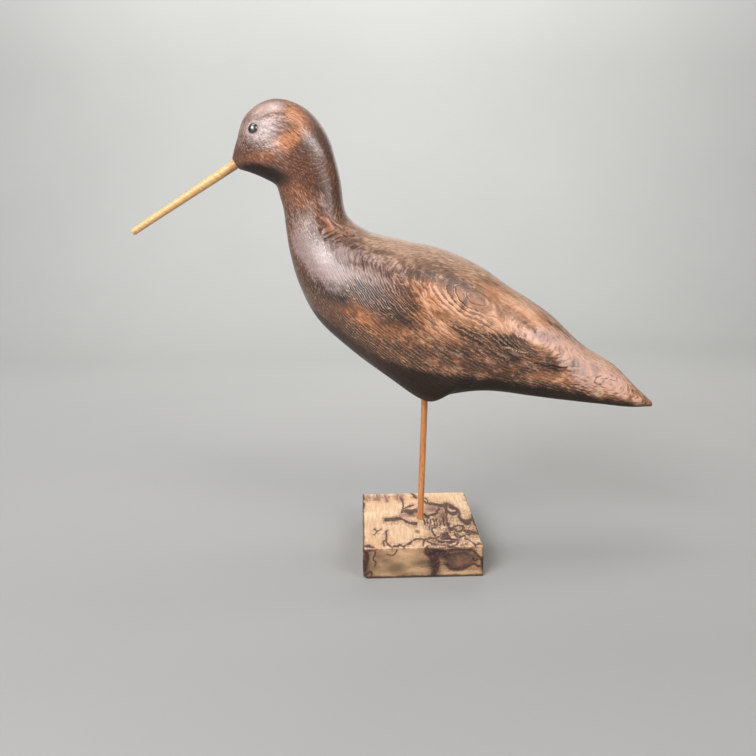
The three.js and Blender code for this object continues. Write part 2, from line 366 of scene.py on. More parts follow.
# %% Rings in the plank
FIBRE_SLOPE = math.radians(28)
ALONG = (math.cos(FIBRE_SLOPE), 0.0, -math.sin(FIBRE_SLOPE))
ACROSS = (math.sin(FIBRE_SLOPE), 0.0, math.cos(FIBRE_SLOPE))
FIGURE_CENTRE = Vector((0.050, -0.040, 0.250))
SHEET_FACING = Vector((0.294, -0.90, 0.376)).normalized()
RING_WIDTH = 2.04 * MM
CLOSE_RINGS, CLOSE_DEPTH = 2.5, 1.4 * MM
LEAST_DEPTH = -0.8 * MM


def plank_place(n, place):
    """The place measured along the fibres, through the plank and across it."""
    return n.join(n.dot(place, ALONG), n.dot(place, (0.0, 1.0, 0.0)), n.dot(place, ACROSS))


def growth_rings(n, place, plank):
    """How many rings the wood has between the place and the middle of the flank's figure."""
    depth = FIGURE_CENTRE.dot(SHEET_FACING) - n.dot(place, SHEET_FACING)
    depth = n.most(depth, LEAST_DEPTH)
    close = n.maths("LOGARITHM", depth / CLOSE_DEPTH + 1.0, math.e) * CLOSE_RINGS
    sway = n.cloud(plank * (0.35, 1.0, 1.0), 26, 3)
    ripple = n.cloud(plank * (0.7, 0.5, 1.0), 6, 2)
    return close + depth / RING_WIDTH + sway * 2.0 + ripple * 0.9


print("rings lean by", [round(math.degrees(math.asin(v))) for v in SHEET_FACING])

# %% [markdown]
# ## The bird's ribs
# The carving is one smooth body, so it is drawn as a boat is: eighteen ribs from the lores to the
# tip of the tail, each a slice from the back to the belly. They are the ribs that the model was
# drawn with, in hundredths of the bird's length from the top of the leg, with the half width of the
# slice in hundredths of the widest, how low its widest place lies, and how square its lower side
# is. The small flat ring that the bill grows from comes before them. One more rib is added beyond
# each end, so that the curve through them arrives at the end ribs in the right direction.

# %% Ribs
LEG_TOP = Vector((6.452, 0, 159.936)) * MM
BIRD_LENGTH, BIRD_HALF_WIDTH = 400 * MM, 47.5 * MM
BILL_ROOT, BILL_SLOPE, BILL_FLAT = (-42.8, 55.55), 31, 5.9 * MM
RIBS = [
    ((-42.4, 60.2), (-39.7, 53.6), 30, 0, 2.2),
    ((-39.8, 66.0), (-36.6, 52.3), 46, 6, 2.4),
    ((-33.6, 69.1), (-33.9, 50.6), 56, 10, 2.5),
    ((-26.8, 67.1), (-33.1, 47.8), 57, 5, 2.4),
    ((-22.1, 61.5), (-32.5, 44.9), 52, 0, 2.2),
    ((-19.7, 53.5), (-32.1, 40.6), 48, 0, 2.1),
    ((-18.2, 44.4), (-31.4, 34.9), 55, 0, 2.1),
    ((-13.2, 40.4), (-29.4, 27.8), 73, 0, 2.2),
    ((-5.4, 38.3), (-25.6, 20.4), 88, 5, 2.3),
    ((3.5, 36.2), (-18.9, 13.7), 98, 10, 2.4),
    ((12.6, 32.1), (-8.9, 5.9), 100, 12, 2.5),
    ((20.2, 26.9), (-0.4, 0.1), 97, 15, 2.5),
    ((25.0, 23.9), (5.1, 1.8), 93, 17, 2.5),
    ((30.5, 19.9), (14.1, 2.6), 86, 20, 2.6),
    ((38.1, 12.9), (26.1, 0.9), 71, 25, 2.7),
    ((46.1, 7.8), (38.7, -1.0), 52, 30, 2.8),
    ((52.2, 1.9), (50.2, -2.7), 30, 30, 2.8),
    ((56.3, -1.8), (56.0, -3.1), 12, 20, 2.4),
]


def bird_point(along, up):
    return LEG_TOP + Vector((along, 0, up)) * (BIRD_LENGTH / 100)


droop = math.radians(BILL_SLOPE)
bill_direction = Vector((-math.cos(droop), 0, -math.sin(droop)))
bill_root = bird_point(*BILL_ROOT)
bill_up = Vector((bill_direction.z, 0, -bill_direction.x))
backs = [bill_root + bill_up * BILL_FLAT] + [bird_point(*rib[0]) for rib in RIBS]
bellies = [bill_root - bill_up * BILL_FLAT] + [bird_point(*rib[1]) for rib in RIBS]
slices = [Vector((BILL_FLAT, 0, 2))]
for _, _, half, low, edge in RIBS:
    slices.append(Vector((half / 100 * BIRD_HALF_WIDTH, low / 100, edge)))


def with_ends(rows):
    """The rows with one more beyond each end, as far out as the next row is in."""
    return [2 * rows[0] - rows[1], *rows, 2 * rows[-1] - rows[-2]]


def guide_mesh(name, points, edges, **columns):
    """A chain of points that carries a vector for each of its points under every name given."""
    mesh = bpy.data.meshes.new(name)
    mesh.from_pydata([tuple(p) for p in points], edges, [])
    for column, values in columns.items():
        data = mesh.attributes.new(column, "FLOAT_VECTOR", "POINT").data
        data.foreach_set("vector", np.array([tuple(v) for v in values], np.float32).ravel())
    return put(name, mesh)


backs, bellies, slices = with_ends(backs), with_ends(bellies), with_ends(slices)
rib_chain = [(k, k + 1) for k in range(len(backs) - 1)]
rib_guide = guide_mesh("rib_guide", backs, rib_chain, back=backs, belly=bellies, slice=slices)
print("ribs:", len(RIBS) + 1, "first at", [round(v * 1000, 1) for v in backs[1]])

# %% [markdown]
# At the foot of the neck the knife has left a raised chevron and a group of short ridges with
# hollows between them. They are drawn as strokes in the side view. The relief and the stain both
# read them, so the cuts are real and their colour sits on them. The hollows are also painted dark
# as shade.

# %% The carver's marks
def strokes(n, place, lines, width):
    """Lines through points of the side view, in millimetres: 1 on them, 0 beyond their width."""
    flat = place * (1.0, 0.0, 1.0)
    distances = []
    for line in lines:
        for (x1, z1), (x2, z2) in zip(line, line[1:]):
            run = Vector((x2 - x1, 0, z2 - z1)) * MM
            offset = flat - (x1 * MM, 0.0, z1 * MM)
            share = n.least(n.most(n.dot(offset, tuple(run / run.length_squared)), 0.0), 1.0)
            distances.append(n.length(offset - n.join(share * run.x, 0.0, share * run.z)))
    return n.fade(n.least(*distances), width * MM, 0.3 * width * MM)


CHEVRON = [(-87, 333.5), (-79, 326), (-85, 323.5)]
NOTCHES = [
    [(-80, 332.5), (-75.5, 328.5), (-70, 326)], [(-87, 320.5), (-83.5, 322), (-79, 323.5)],
    [(-85.5, 317.5), (-82, 319), (-78, 321.5)], [(-78, 315.5), (-74.5, 317.5), (-71, 319)],
    [(-77.5, 321.5), (-73, 323.5)], [(-68.5, 326), (-66, 324)], [(-66.5, 322.5), (-64, 321.5)],
    [(-69.5, 320), (-66.5, 319)], [(-64, 319.5), (-60.5, 319.5)], [(-75.5, 314), (-72, 315)],
]


def on_the_left(n, place):
    return n.fade(n.part(place, "Y"), 0.0, -6 * MM)


def carvers_marks(n, place):
    """The chevron, the ridges and the painted-shade hollows beside them, on the bird's left."""
    left = on_the_left(n, place)
    chevron = strokes(n, place, [CHEVRON], 2.4) * left
    ridges = strokes(n, place, NOTCHES, 1.6) * left
    below = strokes(n, place + (-0.8 * MM, 0.0, 1.9 * MM), NOTCHES, 1.5)
    behind = strokes(n, place + (3.4 * MM, 0.0, 0.8 * MM), [CHEVRON], 2.6)
    return chevron, ridges, n.most(below, behind) * left * (1.0 - n.most(ridges, chevron))


print("ridges at the foot of the neck:", len(NOTCHES))

# %% [markdown]
# ## A tree that carves the bird
# Geometry Nodes suit a body that follows a rule. The guide chain becomes a smooth curve, and each
# point of that curve gives one ring of the body. A plain tube supplies the rings and faces, and
# every vertex of it is moved to its place on the slice. The relief comes after: the rings that the
# brush has worn into furrows, the flats left by the knife, and a shallow seat round each eye. All
# sizes are named inputs, and the noise that makes it uneven has a fixed seed in its place.

# %% Inputs of a shape tree
KINDS = {int: "Int", float: "Float", tuple: "Vector", type(None): "Material"}


def new_shape_tree(name, inputs):
    """A geometry tree with named inputs, each of the kind that its value shows."""
    tree = bpy.data.node_groups.new(name, "GeometryNodeTree")
    inputs = {**inputs, "Material": None}
    for way in ("INPUT", "OUTPUT"):
        tree.interface.new_socket("Geometry", in_out=way, socket_type="NodeSocketGeometry")
    for label, value in inputs.items():
        kind = "NodeSocket" + KINDS[type(value)]
        socket = tree.interface.new_socket(label, in_out="INPUT", socket_type=kind)
        if value is not None:
            socket.default_value = value
    start = tree.nodes.new("NodeGroupInput")
    recipe = Recipe(tree)
    return recipe, {label: Term(recipe, start.outputs[label]) for label in ("Geometry", *inputs)}


def end_shape_tree(n, geometry, given):
    """Every tree ends alike: real geometry, smooth shading and the piece's material."""
    geometry = n.node("GeometryNodeRealizeInstances", None, {0: geometry})
    geometry = n.node("GeometryNodeSetShadeSmooth", None, {0: geometry})
    inputs = {"Geometry": geometry, "Material": given["Material"]}
    geometry = n.node("GeometryNodeSetMaterial", None, inputs)
    end = n.tree.nodes.new("NodeGroupOutput")
    n.tree.links.new(geometry.socket, end.inputs[0])
    print("nodes in the tree:", len(n.tree.nodes))


def grown(guide, recipe, name, values):
    """Runs the tree on the guide and returns the result as a plain mesh object."""
    modifier = guide.modifiers.new("shape", "NODES")
    modifier.node_group = recipe.tree
    for item in recipe.tree.interface.items_tree:
        if item.in_out == "INPUT" and item.name in values:
            modifier[item.identifier] = values[item.name]
    bpy.context.view_layer.update()
    evaluated = guide.evaluated_get(bpy.context.evaluated_depsgraph_get())
    mesh = bpy.data.meshes.new_from_object(evaluated)
    mesh.name = name
    guide.modifiers.remove(modifier)
    bpy.data.objects.remove(guide)
    print(name, "has", sum(len(face.vertices) - 2 for face in mesh.polygons), "triangles")
    return put(name, mesh)


# %% The bird's slices
def smooth_curve(n, chain, resolution):
    """The guide's chains of points as smooth curves through them."""
    curve = n.node("GeometryNodeMeshToCurve", None, {0: chain})
    curve = n.node("GeometryNodeCurveSplineType", {"spline_type": "CATMULL_ROM"}, {0: curve})
    inputs = {0: curve, "Resolution": resolution}
    return n.node("GeometryNodeSetSplineResolution", None, inputs)


def unit_tube(n, sides, rows):
    """A closed tube round Z, one metre long and one in radius, and the place on it."""
    inputs = {"Vertices": sides, "Side Segments": rows, "Radius": 1.0, "Depth": 1.0}
    tube = n.node("GeometryNodeMeshCylinder", {"fill_type": "NGON"}, inputs)
    return tube, n.node("GeometryNodeInputPosition")


def moved(n, geometry, **where):
    """The geometry with its points put at a Position, or shifted by an Offset."""
    return n.node("GeometryNodeSetPosition", None, {"Geometry": geometry, **where})


def sampled(n, points, column, index):
    """The vector that the guide holds under this name, at the point with this index."""
    vectors = {"data_type": "FLOAT_VECTOR"}
    value = n.node("GeometryNodeInputNamedAttribute", vectors, {"Name": column})
    inputs = {"Geometry": points, "Value": value, "Index": index}
    return n.node("GeometryNodeSampleIndex", vectors, inputs)


bird_tree, given = new_shape_tree("carved_bird", {
    "Steps per rib": 20, "Sides": 244, "Ribs": 19, "Upper edge": 2.05, "Furrow depth": 0.3,
    "Figure reach": 75.0, "Knife depth": 0.5, "Notch depth": 0.35, "Seat depth": 0.35,
    "Eye place": (0.0, 0.0, 0.0), "Seed": 7.0,
})
n = bird_tree
curve = smooth_curve(n, given["Geometry"], given["Steps per rib"])
rows = n.node("GeometryNodeCurveToPoints", {"mode": "EVALUATED"}, {0: curve})
steps = given["Steps per rib"] * (given["Ribs"] - 1.0)
tube, tube_place = unit_tube(n, given["Sides"], steps)
row = n.maths("ROUND", (n.part(tube_place, "Z") + 0.5) * steps) + given["Steps per rib"]
back, belly, shape = (sampled(n, rows, column, row) for column in ("back", "belly", "slice"))
cos, sin = n.part(tube_place, "X"), -n.part(tube_place, "Y")
edge = n.mix(n.maths("LESS_THAN", sin, 0.0), given["Upper edge"], n.part(shape, "Z"))
across, level = (n.maths("SIGN", turn) * abs(turn) ** (2.0 / edge) for turn in (cos, sin))
height = level - n.part(shape, "Y") * (1.0 - level * level)
middle = belly + (back - belly) * ((height + 1.0) * 0.5)
skin = moved(n, tube, Position=middle - n.join(0.0, n.part(shape, "X") * across, 0.0))
print("nodes for the slices:", len(n.tree.nodes))

# %% [markdown]
# The relief is a height above or below the smooth skin, in millimetres. The broad furrows round the
# flank's figure are cut here, where the mesh can hold them. The fine ones are left to the finish.

# %% The relief of the brushed wood
place, facing = n.node("GeometryNodeInputPosition"), n.node("GeometryNodeInputNormal")
plank = plank_place(n, place)
rings = growth_rings(n, place, plank)
offset = n.join(given["Seed"], 0.0, 0.0)
reach = given["Figure reach"] * MM
worn = n.fade(n.length(place - tuple(FIGURE_CENTRE)), reach, reach * 0.5)
worn = worn * n.fade(n.part(facing, "Z"), 0.65, 0.35)
worn = worn * n.fade(n.cloud(plank * (0.4, 1.0, 1.0) + offset, 24, 1), 0.3, 0.5)
knife = n.cloud(plank * (0.6, 1.0, 1.0) + offset, 20, 0) - 0.5
mirrored = n.join(n.part(place, "X"), abs(n.part(place, "Y")), n.part(place, "Z"))
seat = n.fade(n.length(mirrored - given["Eye place"]), 6.6 * MM, 4.9 * MM)
chevron, ridges, shaded_hollows = carvers_marks(n, place)
relief = n.wave(rings) * 0.5 * worn * given["Furrow depth"] + knife * given["Knife depth"]
relief = relief + (n.most(chevron, ridges) - shaded_hollows) * given["Notch depth"]
relief = relief - seat * given["Seat depth"]
end_shape_tree(n, moved(n, skin, Offset=facing * relief * MM), given)

# %% [markdown]
# ## The stain, the wear and painted light
# The stain is dark walnut. Hands and brushing have rubbed it back to orange wood on the head, the
# neck and the flank, and to a paler tan round the figure and on the tail. Under the chin and
# along the underside it is nearly black: partly stain pooled there, partly painted shade where
# the body turns under, away from the lights. One number tells how far each place is rubbed:
# ovals at their spots in the side view add to it or take from it, and noise frays them along
# the fibres.
# A second number does the same for a lilac-grey sheen on the face, the shoulder and the tail: a
# little bloom of old wax, and mostly highlights painted into the colour where the lights mirror.
# The ovals reach through the bird, so the far side is worn in the same places.

# %% Ovals
def oval(n, place, centre, reach, slope=0.0, ragged=0.0, soft=0.9):
    """A soft oval in X and Z, in millimetres: 1 in its middle and 0 beyond its reach."""
    centre = (centre[0] * MM, 0.0, centre[1] * MM)
    inside = n.measured(place, centre, slope, (reach[0] * MM, 1.0, reach[1] * MM))
    return n.fade(n.length(inside * (1.0, 0.0, 1.0)) + ragged, 1.0 + soft / 2, 1.0 - soft)


def scattered(n, place, rows):
    """The sum of ovals. A row holds centre, reach, slope and how much the oval counts."""
    total = 0.0
    for x, z, long, high, slope, amount in rows:
        total = oval(n, place, (x, z), (long, high), slope) * amount + total
    return total


# %% Where the bird is rubbed, where it stays dark and where sheen is painted
RUBBED = [
    (-108, 420, 20, 9, 52, 1.1), (-115, 399, 17, 9, -18, 1.3), (-138, 386, 24, 6, -10, 0.85),
    (-110, 354, 15, 12, 40, 0.7), (-92, 340, 14, 9, 50, 0.35), (-72, 325, 16, 7, 35, 0.45),
    (-56, 250, 26, 10, 42, 0.9), (-16, 231, 32, 9, 20, 0.55), (8, 242, 22, 9, 25, 0.85),
    (30, 226, 26, 6, 28, 0.4), (20, 258, 32, 12, 30, 0.8), (10, 264, 17, 14, 30, 0.7),
    (66, 242, 46, 12, 25, 0.9), (52, 264, 44, 9, 22, 0.3), (124, 214, 34, 14, 32, 0.9),
    (160, 196, 36, 14, 36, 0.6), (192, 178, 46, 18, 38, 1.0), (156, 180, 28, 9, 36, 0.6),
    (104, 243, 26, 7, 34, 0.5), (118, 189, 34, 6, 10, 0.7), (80, 202, 40, 9, 12, 0.3),
    (86, 256, 52, 8, 33, 0.9),
]
DARKENED = [
    (-102, 390, 9, 12, 10, 0.4), (-97, 370, 16, 13, 60, 0.3), (-80, 271, 27, 9, 20, 1.1),
    (-38, 262, 24, 9, 32, 1.0), (37, 256, 4, 7, 20, 0.7), (42, 211, 50, 9, 10, 0.25),
    (80, 224, 15, 6, 8, 0.9), (80, 205, 11, 6, 0, 0.6), (96, 195, 10, 5, 0, 0.5),
    (111, 225, 10, 5, 20, 1.3), (126, 221, 9, 4, 30, 0.8), (136, 199, 18, 3, 20, 0.9),
    (148, 197, 12, 5, 38, 1.5), (169, 190, 9, 4, 38, 1.2), (185, 185, 9, 3.5, 38, 0.8),
]
# Ovals of a little bloom of old wax, and mostly of highlights painted where the lights mirror
WAX_BLOOM_AND_PAINTED_SHEEN = [
    (-141, 410, 25, 21, 12, 1.0), (-128, 428, 17, 6, -5, 1.2), (-90, 394, 18, 4.5, 60, 0.9),
    (-86, 345, 14, 5, 75, 0.7), (-108, 320, 26, 12, 75, 0.9), (-90, 292, 32, 13, 42, 1.5),
    (-50, 283, 34, 8, 16, 1.0), (-40, 296, 44, 10, 22, 0.7), (-70, 303, 20, 9, 20, 0.6),
    (110, 226, 20, 9, 30, 0.7), (150, 204, 48, 16, 36, 1.3), (194, 178, 38, 16, 38, 0.8),
    (154, 181, 28, 10, 36, 0.8), (92, 229, 16, 6, 25, 0.7),
]
DARK_EDGE = [
    (-125, 290), (-104, 258), (-83, 242), (-63, 228), (-28, 208), (-5, 201), (14, 197), (45, 193),
    (72, 189), (86, 185), (131, 177), (167, 167), (213, 156), (240, 149),
]
print("ovals of wear:", len(RUBBED) + len(DARKENED), "and of bloom:", len(WAX_BLOOM_AND_PAINTED_SHEEN))


# %% How worn each place is
def height_along(n, along, points):
    """The height of a line through points of the side view, at a place along it."""
    (start, low), (end, high) = points[0], points[-1]
    top, bottom = max(z for _, z in points), min(z for _, z in points)
    share = (along - start) / (end - start)
    height = n.node("ShaderNodeFloatCurve", None, {"Value": share})
    line = height.socket.node.mapping.curves[0]
    line.points[0].location = (0.0, (low - bottom) / (top - bottom))
    line.points[1].location = (1.0, (high - bottom) / (top - bottom))
    for x, z in points[1:-1]:
        line.points.new((x - start) / (end - start), (z - bottom) / (top - bottom))
    height.socket.node.mapping.update()
    return height * (top - bottom) + bottom


brushed_stain, n, shader = new_material("brushed_stain")
place = object_place(n)
up = n.part(n.node("ShaderNodeTexCoord", None, None, "Normal"), "Z")
along, aloft = n.part(place, "X") / MM, n.part(place, "Z") / MM
plank = plank_place(n, place)
rings = growth_rings(n, place, plank)
flow = n.join(rings * MM, n.part(plank, "X") * 0.06, n.part(plank, "Z") * 0.06)
front_half = n.fade(along, -60, -95)


def brushed(slope, size):
    """Noise pulled out along lines that fall towards the tail at the slope, in degrees."""
    return n.cloud(n.measured(place, slope=slope) * (0.16, 1.0, 1.0), size, 1, 0.6)


front_hair = n.mix(n.fade(aloft, 384, 356), brushed(34, 0.7), brushed(62, 0.7))
hair = n.mix(front_half, n.cloud(flow, 0.36, 1, 0.6), front_hair)
bands = n.cloud(flow, 1.8, 2, 0.6)
blotch = n.cloud(place, 30, 3)
patchy = n.cloud(plank * (0.45, 1.0, 1.0), 9, 4, 0.6)
crumbs = n.cloud(plank * (0.4, 1.0, 1.0) + (0.3, 0.0, 0.0), 5.0, 4, 0.7)
scuffed = oval(n, place, (66, 205), (90, 17), 12)
figure = oval(n, place, (36, 258), (38, 13), 28)
face = oval(n, place, (-141, 408), (24, 20), 12)
quiet_back = oval(n, place, (-46, 294), (48, 15), 22)
tail = n.fade(along, 100, 140)
calm = n.most(n.fade(up, 0.25, 0.55), tail * 0.1, quiet_back)
stirred = (patchy - 0.5) * 1.2 + (blotch - 0.5) * 1.2 + (bands - 0.5) * (1.0 - front_half) * 0.6
stirred = stirred + (hair - 0.5) * (0.5 + front_half * 1.6 - scuffed * 0.4)
wear = scattered(n, place, RUBBED) - scattered(n, place, DARKENED)
wear = wear + stirred * (1.0 - n.most(figure * 0.6, front_half * 0.4))
wear = wear + (crumbs - 0.5) * (0.5 - front_half * 0.4 + scuffed * 1.2)
wear = wear + (patchy - 0.5) * (scuffed * 1.4 + tail * 1.2) + (hair - 0.5) * tail
# Bloom of old wax and painted sheen: lilac-grey highlights painted into the colour
bloom_and_painted_sheen = scattered(n, place, WAX_BLOOM_AND_PAINTED_SHEEN)
broken_bloom_and_sheen = (patchy - 0.5) * 1.6 + (bands - 0.5) * 1.0 + (hair - 0.5) * 1.8
bloom_and_sheen_field = bloom_and_painted_sheen + broken_bloom_and_sheen * (0.35 + n.fade(bloom_and_painted_sheen, 0.0, 0.3) * 0.65)
# The underside and chin are nearly black: partly stain, partly painted shade where the body turns
# under
over_edge = aloft - height_along(n, along, DARK_EDGE) + (crumbs - 0.5) * 12
underside_stain_and_shade = n.fade(over_edge, 3, -5) * (0.7 + n.fade(along, -60, 0) * 0.3)
chin_stain_and_shade = oval(n, place, (-139, 372), (27, 9), 14, (crumbs - 0.5) * 0.6, 0.4)
# Up-facing places: grey dust, and partly a painted highlight from the light overhead
top = n.fade(up + (patchy - 0.5) * 0.6, 0.4, 0.8)
print("nodes that tell the wear:", len(n.tree.nodes))

# %% The bird's colours
tan_share = n.fade(along + (patchy - 0.5) * 100, -20, 30) * (1.0 - scuffed * 0.75)
stranded = n.fade(hair, 0.36, 0.66)
deep = between(n, n.most(front_half, scuffed * 0.7), (38, 28, 24), (60, 43, 36))
worn = between(n, stranded, (98, 60, 37), (130, 81, 50))
worn = layered(n, worn, [(tan_share, (152, 105, 75))])
bare = between(n, stranded, (134, 82, 50), (182, 120, 80))
bare = layered(n, bare, [(tan_share, (208, 157, 126))])
# How much of the bloom and painted sheen shows, less where the wood is rubbed to orange
bloom_and_sheen_share = n.fade(bloom_and_sheen_field, 0.2, 1.2) * 0.65 * (1.0 - n.fade(wear, 0.5, 1.0) * (1.0 - tan_share) * 0.6)
streaks = n.fade(hair + (crumbs - 0.5) * 0.5, 0.34, 0.68)
grey_dust_and_sheen = 0.15 + n.fade(along + (patchy - 0.5) * 80, -90, -25) * 0.6
# A painted highlight on the crown, where the small box overhead mirrors
painted_crown_highlight = oval(n, place, (-116, 419), (24, 9), 8) * (0.25 + streaks * 0.75)
# Painted shade on the throat and jaw, below the light that falls on the head from above
painted_throat_shade = n.fade(aloft, 393, 384) * n.fade(aloft, 334, 346) * n.fade(along, -84, -100)
colour = layered(n, n.blend(n.fade(wear, -0.55, 0.1), deep, seen(80, 54, 41)), [
    (n.fade(wear, 0.05, 0.6), worn),
    (n.fade(wear, 0.6, 1.15), bare),
    # painted sheen: lilac-grey highlights over a little bloom of old wax
    (bloom_and_sheen_share, between(n, tan_share, (160, 140, 136), (208, 172, 160))),
    # grey dust on the back and top, partly a painted highlight from above
    (top * grey_dust_and_sheen, between(n, streaks, (150, 120, 99), (178, 149, 127))),
    (painted_crown_highlight * 0.26, (236, 194, 170)),
    (painted_throat_shade * 0.4, (98, 50, 26)),
])
print("nodes in the stain:", len(n.tree.nodes))

# %% [markdown]
# Each ring has a soft part, which the brush wears into a furrow where dirt and stain collect, and a
# hard part that stands up as a thin ridge, rubbed lighter and polished. Rings show strongly in some
# places and hardly in others. Between them run finer hairs of the same wood: noise that is read by
# ring number and is pulled out long across it, so it flows with the figure. On the head and neck
# the hairs follow the brush instead, fine scratches cross them, and the face keeps the dark bands
# of the knife's last cuts, with painted highlights laid as light bands between them. At the
# shoulder a finer ripple lies between the rings.

# %% Grain and scratches
speckle = n.cloud(place, 1.4, 1)
rippled = oval(n, place, (-44, 270), (40, 24), 30)
showing = n.cloud(plank * (0.3, 1.0, 1.0) + n.join(rings * (2 * MM), 0.0, 0.0), 15, 2)
showing = (0.15 + n.fade(showing, 0.36, 0.58) * 0.7) * (1.0 - front_half * 0.65)
showing = showing * (1.0 - calm * 0.85) * (1.0 - n.most(scuffed, rippled) * 0.5)
showing = n.most(showing, figure)
crest = n.fade(n.wave(rings), 0.4, 0.9) * showing
crest = crest * n.fade(speckle, 0.34, 0.56) * n.fade(rings, 1.7, 2.7)
furrow = n.fade(n.wave(rings + 0.28), 0.4, 0.95) * showing
hairy = n.most(0.35 + n.fade(patchy, 0.35, 0.6) * 0.65, front_half * 0.8) * (1.0 - figure * 0.6)
light_hair = n.fade(hair, 0.54, 0.7) * hairy
dark_hair = n.fade(hair, 0.46, 0.3) * hairy * (1.0 - n.most(scuffed * 0.75, front_half * 0.35))
FACE_BANDS = [
    [(-134, 420.5), (-126, 422.5), (-118, 421)], [(-142, 417), (-133, 419.5), (-124, 417.5)],
    [(-135, 410), (-128, 411.5), (-120, 409)], [(-136, 405.5), (-128.5, 407), (-120, 404.5)],
    [(-132, 401), (-124, 402)],
]
# Painted highlights: light bands painted between the dark ones, where the knife's flats catch light
PAINTED_FACE_HIGHLIGHTS = [
    [(-144, 422), (-134, 427), (-122, 427)], [(-134, 414), (-124, 418), (-114, 417)],
    [(-136, 407), (-126, 409)], [(-142, 400), (-133, 402)], [(-136, 394.5), (-124, 396.5)],
]
face_bands = strokes(n, place, FACE_BANDS, 1.5) * n.fade(crumbs, 0.36, 0.54)
painted_face_highlights = strokes(n, place, PAINTED_FACE_HIGHLIGHTS, 3.0) * n.fade(brushed(-8, 1.0), 0.4, 0.62)
hatch = n.fade(n.most(brushed(70, 0.9), brushed(-25, 0.9)), 0.6, 0.74) * (0.15 + front_half * 0.85)
flecks = n.fade(n.cloud(plank * (0.2, 1.0, 1.0), 1.3, 1), 0.6, 0.72) * n.fade(patchy, 0.42, 0.6)
ripples = n.wave(rings * 2.0) * rippled
hair_share = light_hair * 0.42 * (1.0 - n.most(calm * 0.4, scuffed * 0.5))
hair_colour = between(n, front_half, (190, 128, 86), (184, 146, 128))
print("nodes with the grain:", len(n.tree.nodes))

# %% Small flaws on the left side
SPLIT = [(104, 202), (109, 201), (115, 198), (121, 198.5), (128, 196), (136, 195.5)]
HOOK = [(172, 184.5), (167, 183.5), (165, 180), (168, 177), (172, 177)]
HAIR_CRACK = [(172, 182.5), (181, 181), (190, 177.5)]
GOUGE = [(-64, 239), (-60, 238), (-56, 241)]
STREAK = [(73, 218), (80, 217), (88, 213.5), (96, 212)]
left = on_the_left(n, place)
broken = n.fade(speckle, 0.42, 0.56)
split, hook, hair_crack, gouge, streak = (
    strokes(n, place, [line], width)
    for line, width in ((SPLIT, 1.2), (HOOK, 1.1), (HAIR_CRACK, 0.7), (GOUGE, 0.7), (STREAK, 1.1))
)
cracks = n.most(split, n.most(hook, hair_crack * broken) * 0.62, gouge * broken * 0.7) * left
chip = oval(n, place, (171, 169), (5, 5.5), 0, (crumbs - 0.5) * 1.6, 0.5) * left
chip = chip * (1.0 - oval(n, place, (171, 169), (2.2, 2.4), 0, 0.0, 0.6) * 0.6)
chevron, ridges, shaded_hollows = carvers_marks(n, place)
colour = layered(n, colour, [
    (furrow * (0.4 + figure * 0.45 - scuffed * 0.2), (50, 34, 27)),
    (dark_hair * 0.45 * (1.0 - calm * 0.5), (46, 32, 26)),
    (hair_share, layered(n, hair_colour, [(tan_share, (214, 166, 130))])),
    (n.fade(ripples, -0.2, -0.9) * 0.4, (50, 38, 34)),
    (n.fade(ripples, 0.2, 0.9) * 0.4, (190, 160, 146)),
    (flecks * (1.0 - front_half) * 0.4, (214, 184, 150)),
    (crest * (0.3 + figure * 0.45), (232, 184, 150)),
    (hatch * 0.25, (180, 122, 86)),
    # painted highlights on the face
    (painted_face_highlights * 0.5, (196, 170, 162)),
    (face_bands * 0.5, (76, 54, 48)),
    (n.fade(crumbs, 0.56, 0.66) * scuffed * 0.45, (176, 148, 134)),
    (n.fade(along, 214, 232) * 0.4, (140, 80, 62)),
    # stain and painted shade under the body and the chin
    (n.most(underside_stain_and_shade, chin_stain_and_shade) * 0.95, between(n, blotch, (26, 20, 18), (44, 32, 26))),
    (ridges * 0.5, (146, 100, 76)),
    (chevron * (0.5 + stranded * 0.3), (162, 98, 66)),
    # cracks, and painted shade in the hollows beside the ridges and the chevron
    (n.most(cracks, shaded_hollows * 0.45) * 0.9, (28, 20, 18)),
    (n.most(chip * 0.75, streak * left * broken * 0.7) * 0.8, (206, 178, 146)),
])
print("nodes with the flaws:", len(n.tree.nodes))

# %% [markdown]
# The sheen is what makes it look waxed. Ridges are polished and furrows are dull, and on the head
# the knife's long flats still show as bands of light. So the wax coat is thick on the ridges, thin
# between them and missing along the dull underside, and the bump carries the flats and the ridges.

# %% Sheen
flats = n.cloud(place * (0.2, 1.0, 1.0), 5.5, 1)
height = crest * 0.12 - furrow * 0.12 + hatch * 0.05 + hair * 0.16 + bands * 0.2 + ripples * 0.05
height = height + flats * front_half * 0.7 - face_bands * 0.15 - chip * 0.3
height = height + (n.most(ridges, chevron) - n.most(cracks, shaded_hollows)) * 0.5
polished = n.most(crest, hatch, light_hair)
dull = n.most(underside_stain_and_shade, chin_stain_and_shade, top * 0.6)
rough = 0.42 - polished * 0.1 + furrow * 0.15 + dull * 0.15 + (blotch - 0.5) * 0.2
wax = (0.6 + polished * 0.4) * (1.0 - furrow * 0.6) * (1.0 - dull * 0.95)
wax = wax * (1.0 - n.most(n.fade(along, -60, 20) * 0.62, face * 0.55))
feed(n, shader, height, Base_Color=colour, Roughness=rough, Coat_Weight=wax,
     Specular_IOR_Level=0.25, Coat_Roughness=0.26, Coat_IOR=1.6)
print("nodes in the finish:", len(n.tree.nodes))

# %% Carve the bird
EYE_POINT = Vector((-145.3, -20.6, 410.0)) * MM
EYE_FACING = Vector((-0.356, -0.897, 0.263)).normalized()
bird = grown(rib_guide, bird_tree, "carved_bird", {
    "Eye place": (EYE_POINT.x, -EYE_POINT.y, EYE_POINT.z),
    "Material": brushed_stain,
})

